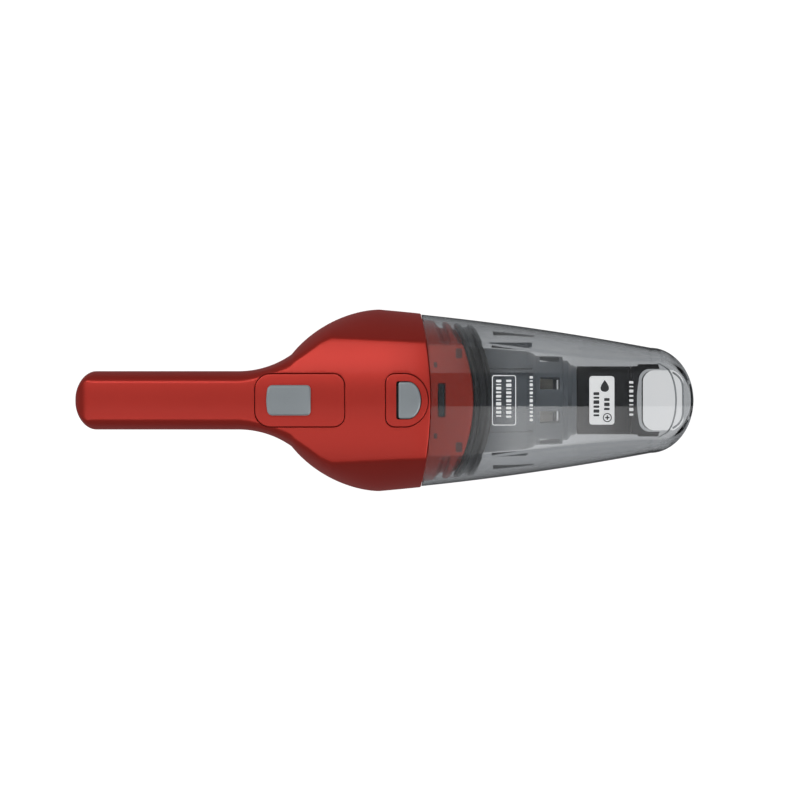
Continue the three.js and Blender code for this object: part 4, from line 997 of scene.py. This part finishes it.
# ------------------------------------------------------------------------------------------------
# The bowl: one smoked clear polycarbonate moulding, 2.2 mm thick, whose rear edge meets the housing
# on a curve. Its front is cut off by the slanted mouth, where a rounded opening leads to the duct.
bowl_shell = front_body(STEP, SEAM_X + 0.3 * MM, 0.0)
carve(bowl_shell, behind_mouth(0), how="INTERSECT")
inside = front_body(STEP + BOWL_WALL, SEAM_X - 1 * MM, BOWL_WALL)
carve(inside, behind_mouth(BOWL_WALL), how="INTERSECT")
carve(bowl_shell, inside)
mouth_outline = rounded_outline(MOUTH_X + 3.5 * MM, TIP_X - 7 * MM, 18.5 * MM, 7 * MM, 7 * MM)
mouth = post(mouth_outline, BELOW, BODY_HEIGHT)
carve(mouth, front_body(STEP + BOWL_WALL, SEAM_X, -5 * MM), how="INTERSECT")
carve(bowl_shell, mouth)
bowl_shell.name = "bowl_shell"


def smoked(name, density):
    clear = Finish(name, IOR=1.49, Transmission_Weight=1.0, Specular_IOR_Level=0.5)
    haze = clear.noise(60, 3)
    clear.set(Base_Color=clear.tint(haze, (0.97, 0.985, 1, 1), (1, 1, 1, 1)))
    clear.set(Roughness=0.015 + 0.02 * haze)
    clear.bump(clear.noise(150, 2), 0.01 * MM, 0.15)
    soak = clear.tree.nodes.new("ShaderNodeVolumeAbsorption")
    soak.inputs["Color"].default_value = (0.34, 0.355, 0.37, 1)
    soak.inputs["Density"].default_value = density
    clear.tree.links.new(soak.outputs[0], clear.tree.nodes["Material Output"].inputs["Volume"])
    return clear


SMOKE = smoked("smoked_polycarbonate", 350)
SMOKE.on(bowl_shell)
belongs("bowl", "bowl_smoke", bowl_shell, to="bowl")

# Clear beads strengthen the inside of the mouth wall, and two fins guide the filter's flanks. The beads'
# pale finish is a painted highlight, and the fins' black is painted shade for clear ribs in shadow.


def bead(name, path, radius, sides=10):
    """A round bead along a path of points."""
    rings = []
    for i, point in enumerate(path):
        ahead = (path[min(i + 1, len(path) - 1)] - path[max(i - 1, 0)]).normalized()
        across = ahead.cross(Vector((0, 0, 1))).normalized()
        up = across.cross(ahead)
        rings.append([point + (across * math.cos(a) + up * math.sin(a)) * radius
                      for a in full_turn(sides)])
    return loft(name, rings, 60)


def over_mouth(x, y):
    return Vector((x, y, (x - MOUTH_X) * MOUTH_SLOPE + 3.9 * MM))


rim_path = [over_mouth(162.6 * MM, 28.6 * MM), over_mouth(167.0 * MM, 24.6 * MM)]
rim_path += [over_mouth(170.6 * MM + 8.4 * MM * math.cos(a), 21.0 * MM * math.sin(a))
             for a in even(math.radians(72), math.radians(-72), 40)]
rim_path += [over_mouth(167.0 * MM, -24.6 * MM), over_mouth(162.6 * MM, -28.6 * MM)]
lip_path = [over_mouth(183.2 * MM - 6 * MM * abs(t) ** 5, 17 * MM * t) for t in even(-1, 1, 30)]
beads = [bead("mouth_bead", rim_path, 0.5 * MM), bead("lip_bead", lip_path, 0.55 * MM)]
# Painted highlight: the beads take a pale, half-clear finish, so they show as the bright lines that
# clear beads catch in light.
PALE_BEAD_HIGHLIGHT = moulded("bead_pale_painted_highlight", shade(214, 218, 221), 0.25, Transmission_Weight=0.5, IOR=1.49)
PALE_BEAD_HIGHLIGHT.on(*beads)
# Painted shade: the fins are black where the real ribs are clear, and look dark only because they lie in
# shadow.
shade_fins = []
for side, word in ((1, "left"), (-1, "right")):
    fin = [(66, 40.6), (74, 40.8), (91, 39.9), (91, 40.4), (75, 42.4), (66, 43.3)]
    rings = [[Vector((x * MM, side * y * MM, z)) for x, y in fin] for z in (45 * MM, 51 * MM)]
    shade_fins.append(loft(f"guide_fin_painted_shade_{word}", rings))
BLACK.on(*shade_fins)
belongs("bowl", "bowl_smoke", *beads)
belongs("bowl", "duct_black", *shade_fins)

# ------------------------------------------------------------------------------------------------
# The printed marks on the bowl: white pad print, a few hundredths of a millimetre thick. All of
# them are plain shapes: a framed plate with two rows of dashes, two more rows, and a white label
# with a drop, dashes and a plus in dark ink.
PRINT_LIFT = 0.06 * MM
INK = 0.05 * MM


def bowl_roof(x, y):
    return roof_at(x, y, STEP) + PRINT_LIFT


def print_patch(name, outline):
    return inlay(name, outline, [(0, -INK), (0, 0.0)], bowl_roof)


def print_frame(name, x0, x1, half, radius, width):
    """An outlined rounded rectangle, as one closed band."""
    outer = rounded_outline(x0, x1, half, radius, radius)
    rings = []
    for margin, lift in ((0, -INK), (0, 0), (-width, 0), (-width, -INK)):
        rings.append([Vector((x + nx * margin, y + ny * margin,
                              bowl_roof(x + nx * margin, y + ny * margin) + lift))
                      for x, y, nx, ny in outer])
    return loft(name, rings, looped=True)


def bar(name, x0, x1, y0, y1, radius=0.3 * MM):
    middle = (y0 + y1) / 2
    half = abs(y1 - y0) / 2
    outline = [(x, y + middle, nx, ny)
               for x, y, nx, ny in rounded_outline(x0, x1, half, radius, radius, count=40)]
    return print_patch(name, outline)


def row_of_bars(name, x0, x1, y_start, lengths, gap):
    made = []
    y = y_start
    for index, length in enumerate(lengths):
        made.append(bar(f"{name}_{index}", x0, x1, y - length * MM, y))
        y -= (length + gap) * MM
    return made


DASHES = [1.5, 0.7, 1.8, 1.1, 1.6, 0.7, 2.0, 1.3]
WHITE_ROWS = [
    ("plate_row_a", 67.4, 70.6, 12.6, DASHES + [1.6, 0.8], 1.05),
    ("plate_row_b", 73.6, 76.8, 12.6, DASHES[::-1] + [1.8, 1.2], 1.05),
    ("small_row", 88.0, 90.0, 14.8, DASHES + [0.7, 1.4, 1.1, 1.6], 1.1),
    ("front_row", 149.6, 152.2, 11.8, DASHES, 1.5),
]
white_marks = [print_frame("plate_frame", 64.9 * MM, 79.7 * MM, 15.4 * MM, 1.6 * MM, 0.55 * MM)]
for name, x0, x1, start, lengths, gap in WHITE_ROWS:
    white_marks += row_of_bars(name, x0 * MM, x1 * MM, start * MM, lengths, gap)
label = rounded_outline(124.8 * MM, 140.4 * MM, 14.9 * MM, 1.8 * MM, 1.8 * MM)
white_marks.append(print_patch("label_plate", label))

DROP_X = 134.4 * MM
DROP_TIP_Y = 12.6 * MM
DROP_LENGTH = 7.4 * MM
DROP_HALF = 3.6 * MM


def drop_at(t):
    """A point of the drop's outline: its tip at 0, its round end at a half, and back."""
    angle = 2 * math.pi * t
    reach = DROP_HALF * math.sin(angle / 2) ** 1.3
    return DROP_X + reach * math.sin(angle), DROP_TIP_Y - DROP_LENGTH * (1 - math.cos(angle)) / 2


drop_outline = spread([drop_at(t) for t in even(0, 1, 64)[:-1]][::-1], 80)
dark_marks = [
    print_patch("label_drop", drop_outline),
    *row_of_bars("label_row_a", 127.4 * MM, 131.0 * MM, 5.0 * MM, [1.8, 1.2, 2.2, 1.4, 2.0, 1.2], 1.0),
    *row_of_bars("label_row_b", 134.0 * MM, 137.4 * MM, 1.4 * MM, [1.8, 2.2, 1.4], 1.0),
    arc_mark("label_ring", 136.0 * MM, -10.6 * MM, 2.5 * MM, 0.6 * MM, 0, 360, 0.0, bowl_roof,
             0.02 * MM),
    bar("label_plus_a", 134.6 * MM, 137.4 * MM, -11.0 * MM, -10.2 * MM),
    bar("label_plus_b", 135.6 * MM, 136.4 * MM, -12.0 * MM, -9.2 * MM),
]
# The dark ink lies on the label's white.
for made in dark_marks:
    for v in made.data.vertices:
        v.co.z += INK
# Painted light: the white print glows faintly, so it reads brighter than the lamps alone would make it.
INK_WHITE_PAINTED_GLOW = moulded("print_white_painted_glow", shade(244, 246, 247), 0.55, grain=2400, depth=0.005,
                    Emission_Color=(1, 1, 1, 1), Emission_Strength=0.2)
INK_DARK = moulded("print_dark", shade(40, 42, 46), 0.5, grain=2400, depth=0.005)
INK_WHITE_PAINTED_GLOW.on(*white_marks)
INK_DARK.on(*dark_marks)
belongs("bowl", "switch_white", *white_marks)
belongs("bowl", "inner_black", *dark_marks)

# ------------------------------------------------------------------------------------------------
# The parts inside, most of them seen only through the bowl, the vents and the slots: the power unit,
# the battery and its board, the latch, the filter and the flap. Each keeps its own form from the
# frame and takes a finish that suits its material.


def metal(name, tone, roughness, stretch=(1, 1, 1), grain=700):
    """Turned or drawn metal: fine lines along one direction, and slight stains."""
    steel = Finish(name, Metallic=1.0)
    lines = steel.noise(grain, 3, steel.stretched(*stretch))
    stain = steel.noise(60, 3)
    deep = tuple(0.72 * c for c in tone[:3]) + (1,)
    steel.set(Base_Color=steel.tint(0.6 * stain + 0.4 * lines, deep, tone))
    steel.set(Roughness=roughness - 0.06 + 0.16 * lines)
    return steel.bump(lines, 0.02 * MM, 0.3)


def woven(name, low, high, scale, depth):
    """Pleated filter cloth: fibres in both directions under a dusty drift of tone."""
    cloth = Finish(name, Sheen_Weight=0.2, Specular_IOR_Level=0.2)
    across = cloth.noise(scale, 2, cloth.stretched(0.15, 1, 1))
    along = cloth.noise(scale, 2, cloth.stretched(1, 0.15, 0.15))
    fibres = 0.5 * across + 0.5 * along
    cloth.set(Base_Color=cloth.tint(0.6 * fibres + 0.4 * cloth.noise(40, 3), low, high))
    cloth.set(Roughness=0.8 + 0.15 * fibres)
    return cloth.bump(fibres, depth * MM, 0.6)


STEEL = metal("zinc_steel", shade(190, 192, 196), 0.30, (0.1, 1, 1))
BRASS = metal("turned_brass", shade(200, 168, 96), 0.28, (1, 0.1, 0.1))
COPPER = metal("wound_copper", shade(186, 110, 66), 0.34, (6, 0.4, 0.4), 300)
PAPER = woven("filter_cloth", shade(196, 192, 182), shade(232, 230, 222), 1500, 0.06)
INNER = moulded("inner_black_plastic", shade(34, 35, 38), 0.48)
FRAME_GREY = moulded("filter_frame_grey", shade(84, 88, 92), 0.46)
CELL = moulded("cell_sleeve", shade(30, 92, 150), 0.30, grain=500, Coat_Weight=0.3)
BOARD = moulded("board_laminate", shade(24, 84, 52), 0.38, grain=1600, depth=0.04)
LEVER = moulded("switch_lever", shade(222, 220, 212), 0.42)
LEAD_RED = moulded("lead_red_sleeve", shade(170, 30, 26), 0.45, grain=1200)
LEAD_BLACK = moulded("lead_black_sleeve", shade(26, 26, 28), 0.45, grain=1200)
KEPT_FINISHES = [
    (STEEL, "latch_spring", "cell_link", "motor_can", "rotor_shaft", "flap_pin", "motor_screw_1",
     "motor_screw_2", *SCREWS),
    (BRASS, "bearing_rear", "bearing_front", "impeller_nut"),
    (COPPER, "armature"),
    (PAPER, "filter_pleats"),
    (INNER, "release_latch", "latch_bracket", "battery_cradle", "slide_switch", "charge_socket",
     "motor_end_cap", "motor_carrier", "fan_shroud", "impeller"),
    (FRAME_GREY, "filter_frame", "filter_end_cap"),
    (RUBBER, "duct_flap", "motor_mount"),
    (CELL, "cell_rear", "cell_front"),
    (BOARD, "control_board"),
    (LEVER, "switch_toggle"),
    (LEAD_RED, "lead_battery", "lead_motor_plus"),
    (LEAD_BLACK, "lead_motor_minus"),
]
for kept, *names in KEPT_FINISHES:
    for name in names:
        for place in bpy.data.objects[name].material_slots:
            place.material = kept.material

# ------------------------------------------------------------------------------------------------
# Studio: a pale floor that runs out of sight, one soft light over each side of the body with a
# gap between them, and a camera straight above.
LIGHT_REACH = 2.8
PANEL_STEPS = 8


def softbox(name, tilts, stops):
    """A curved panel that the roof mirrors between two sideways tilts. The stops list its forward
    leans with the strength at each; in between the strength runs evenly."""
    rows = []
    for (lean0, strength0), (lean1, strength1) in zip(stops, stops[1:]):
        for t in even(0, 1, PANEL_STEPS)[:-1]:
            rows.append((mix(lean0, lean1, t), mix(strength0, strength1, t)))
    rows.append(stops[-1])
    most = max(strength for _, strength in rows)
    points = []
    shades = []
    for lean, strength in rows:
        for tilt in even(*tilts, PANEL_STEPS):
            mirrored = Vector((2 * lean, 2 * tilt, 1 - lean**2 - tilt**2)).normalized()
            points.append(mirrored * LIGHT_REACH)
            shades.append((*[strength / most] * 3, 1))
    width = PANEL_STEPS + 1
    faces = []
    for i in range(len(rows) - 1):
        for j in range(PANEL_STEPS):
            corner = i * width + j
            faces.append((corner, corner + 1, corner + width + 1, corner + width))
    mesh = bpy.data.meshes.new(name)
    mesh.from_pydata([tuple(p) for p in points], [], faces)
    levels = mesh.attributes.new("level", "FLOAT_COLOR", "POINT")
    for level, shade_here in zip(levels.data, shades):
        level.color = shade_here
    panel = bpy.data.objects.new(name, mesh)
    bpy.context.scene.collection.objects.link(panel)
    glow = Finish(name, Base_Color=(0, 0, 0, 1), Specular_IOR_Level=0.0, Emission_Strength=most)
    glow.set(Emission_Color=glow.node("Attribute", {"attribute_name": "level"}, None, "Color"))
    glow.on(panel)
    panel.visible_camera = False
    return panel


BODY_LEANS = (-0.5, 0.09)
softbox("softbox_right_body", (-0.033, -0.34), [(lean, 1.35) for lean in BODY_LEANS])
softbox("softbox_left_body", (0.150, 0.34), [(lean, 3.7) for lean in BODY_LEANS])
right_stops = [(0.12, 0.9), (0.18, 1.1), (0.24, 1.2), (0.33, 3.8), (0.52, 2.5), (0.62, 1.4), (0.85, 1.6)]
left_stops = [(0.12, 1.1), (0.18, 1.1), (0.24, 0.5), (0.33, 1.3), (0.52, 0.2), (0.85, 0.15)]
# Over the bowl the panels show only as reflections, and leave the body's paint alone.
softbox("softbox_right_bowl", (-0.033, -0.40), right_stops).visible_diffuse = False
softbox("softbox_left_bowl", (0.150, 0.40), left_stops).visible_diffuse = False

FLOOR_REACH = 9.0
FLOOR_DROP = 0.3 * MM
floor_mesh = bpy.data.meshes.new("floor")
floor_corners = [(FLOOR_REACH * x, FLOOR_REACH * y, 0) for x, y in ((-1, -1), (1, -1), (1, 1), (-1, 1))]
floor_mesh.from_pydata(floor_corners, [], [(0, 1, 2, 3)])
floor = bpy.data.objects.new("floor", floor_mesh)
bpy.context.scene.collection.objects.link(floor)
floor.location.z = -FLOOR_DROP
paper = Finish("floor_paper", Roughness=0.9, Specular_IOR_Level=0.0)
paper.set(Base_Color=paper.tint(paper.noise(3, 2), (0.16, 0.16, 0.16, 1), (0.19, 0.19, 0.19, 1)))
paper.set(Emission_Color=(1, 1, 1, 1), Emission_Strength=0.99)
paper.on(floor)
floor.visible_glossy = False

# A pale backdrop far outside, for views from low down.
BACKDROP_REACH = 8.4
BACKDROP_SHAPE = [(BACKDROP_REACH, -1), (BACKDROP_REACH, 5), (BACKDROP_REACH * 0.8, 6.6), (1, 7.6)]
backdrop = loft("backdrop", [
    [Vector((r * math.cos(a), r * math.sin(a), z)) for a in even(0, 2 * math.pi, 64)[:-1]]
    for r, z in BACKDROP_SHAPE
])
pale = Finish("backdrop_paper", Specular_IOR_Level=0.0)
pale.set(Base_Color=pale.tint(pale.noise(0.3, 2), (0.10, 0.10, 0.10, 1), (0.12, 0.12, 0.12, 1)))
pale.set(Emission_Color=(0.97, 0.98, 1, 1), Emission_Strength=0.9)
pale.on(backdrop)
backdrop.visible_glossy = False
backdrop.visible_diffuse = False
backdrop.visible_shadow = False

world = bpy.data.worlds.new("studio")
world.use_nodes = True
sky = world.node_tree.nodes["Background"]
sky.inputs["Color"].default_value = (0.92, 0.95, 1.0, 1)
sky.inputs["Strength"].default_value = 0.13
bpy.context.scene.world = world
bpy.context.scene.view_settings.view_transform = "Standard"

CAMERA_HEIGHT = 6.0
CAMERA_X = 8.7 * MM
CAMERA_Y = 0.2 * MM
SEEN_WIDTH = 492.7 * MM
SEEN_LEVEL = 55 * MM
SENSOR_WIDTH = 36
camera_data = bpy.data.cameras.new("camera")
camera = bpy.data.objects.new("camera", camera_data)
bpy.context.scene.collection.objects.link(camera)
camera.location = (CAMERA_X, CAMERA_Y, CAMERA_HEIGHT)
camera_data.sensor_width = SENSOR_WIDTH
camera_data.lens = SENSOR_WIDTH * (CAMERA_HEIGHT - SEEN_LEVEL) / SEEN_WIDTH
camera_data.clip_end = 60
bpy.context.scene.camera = camera
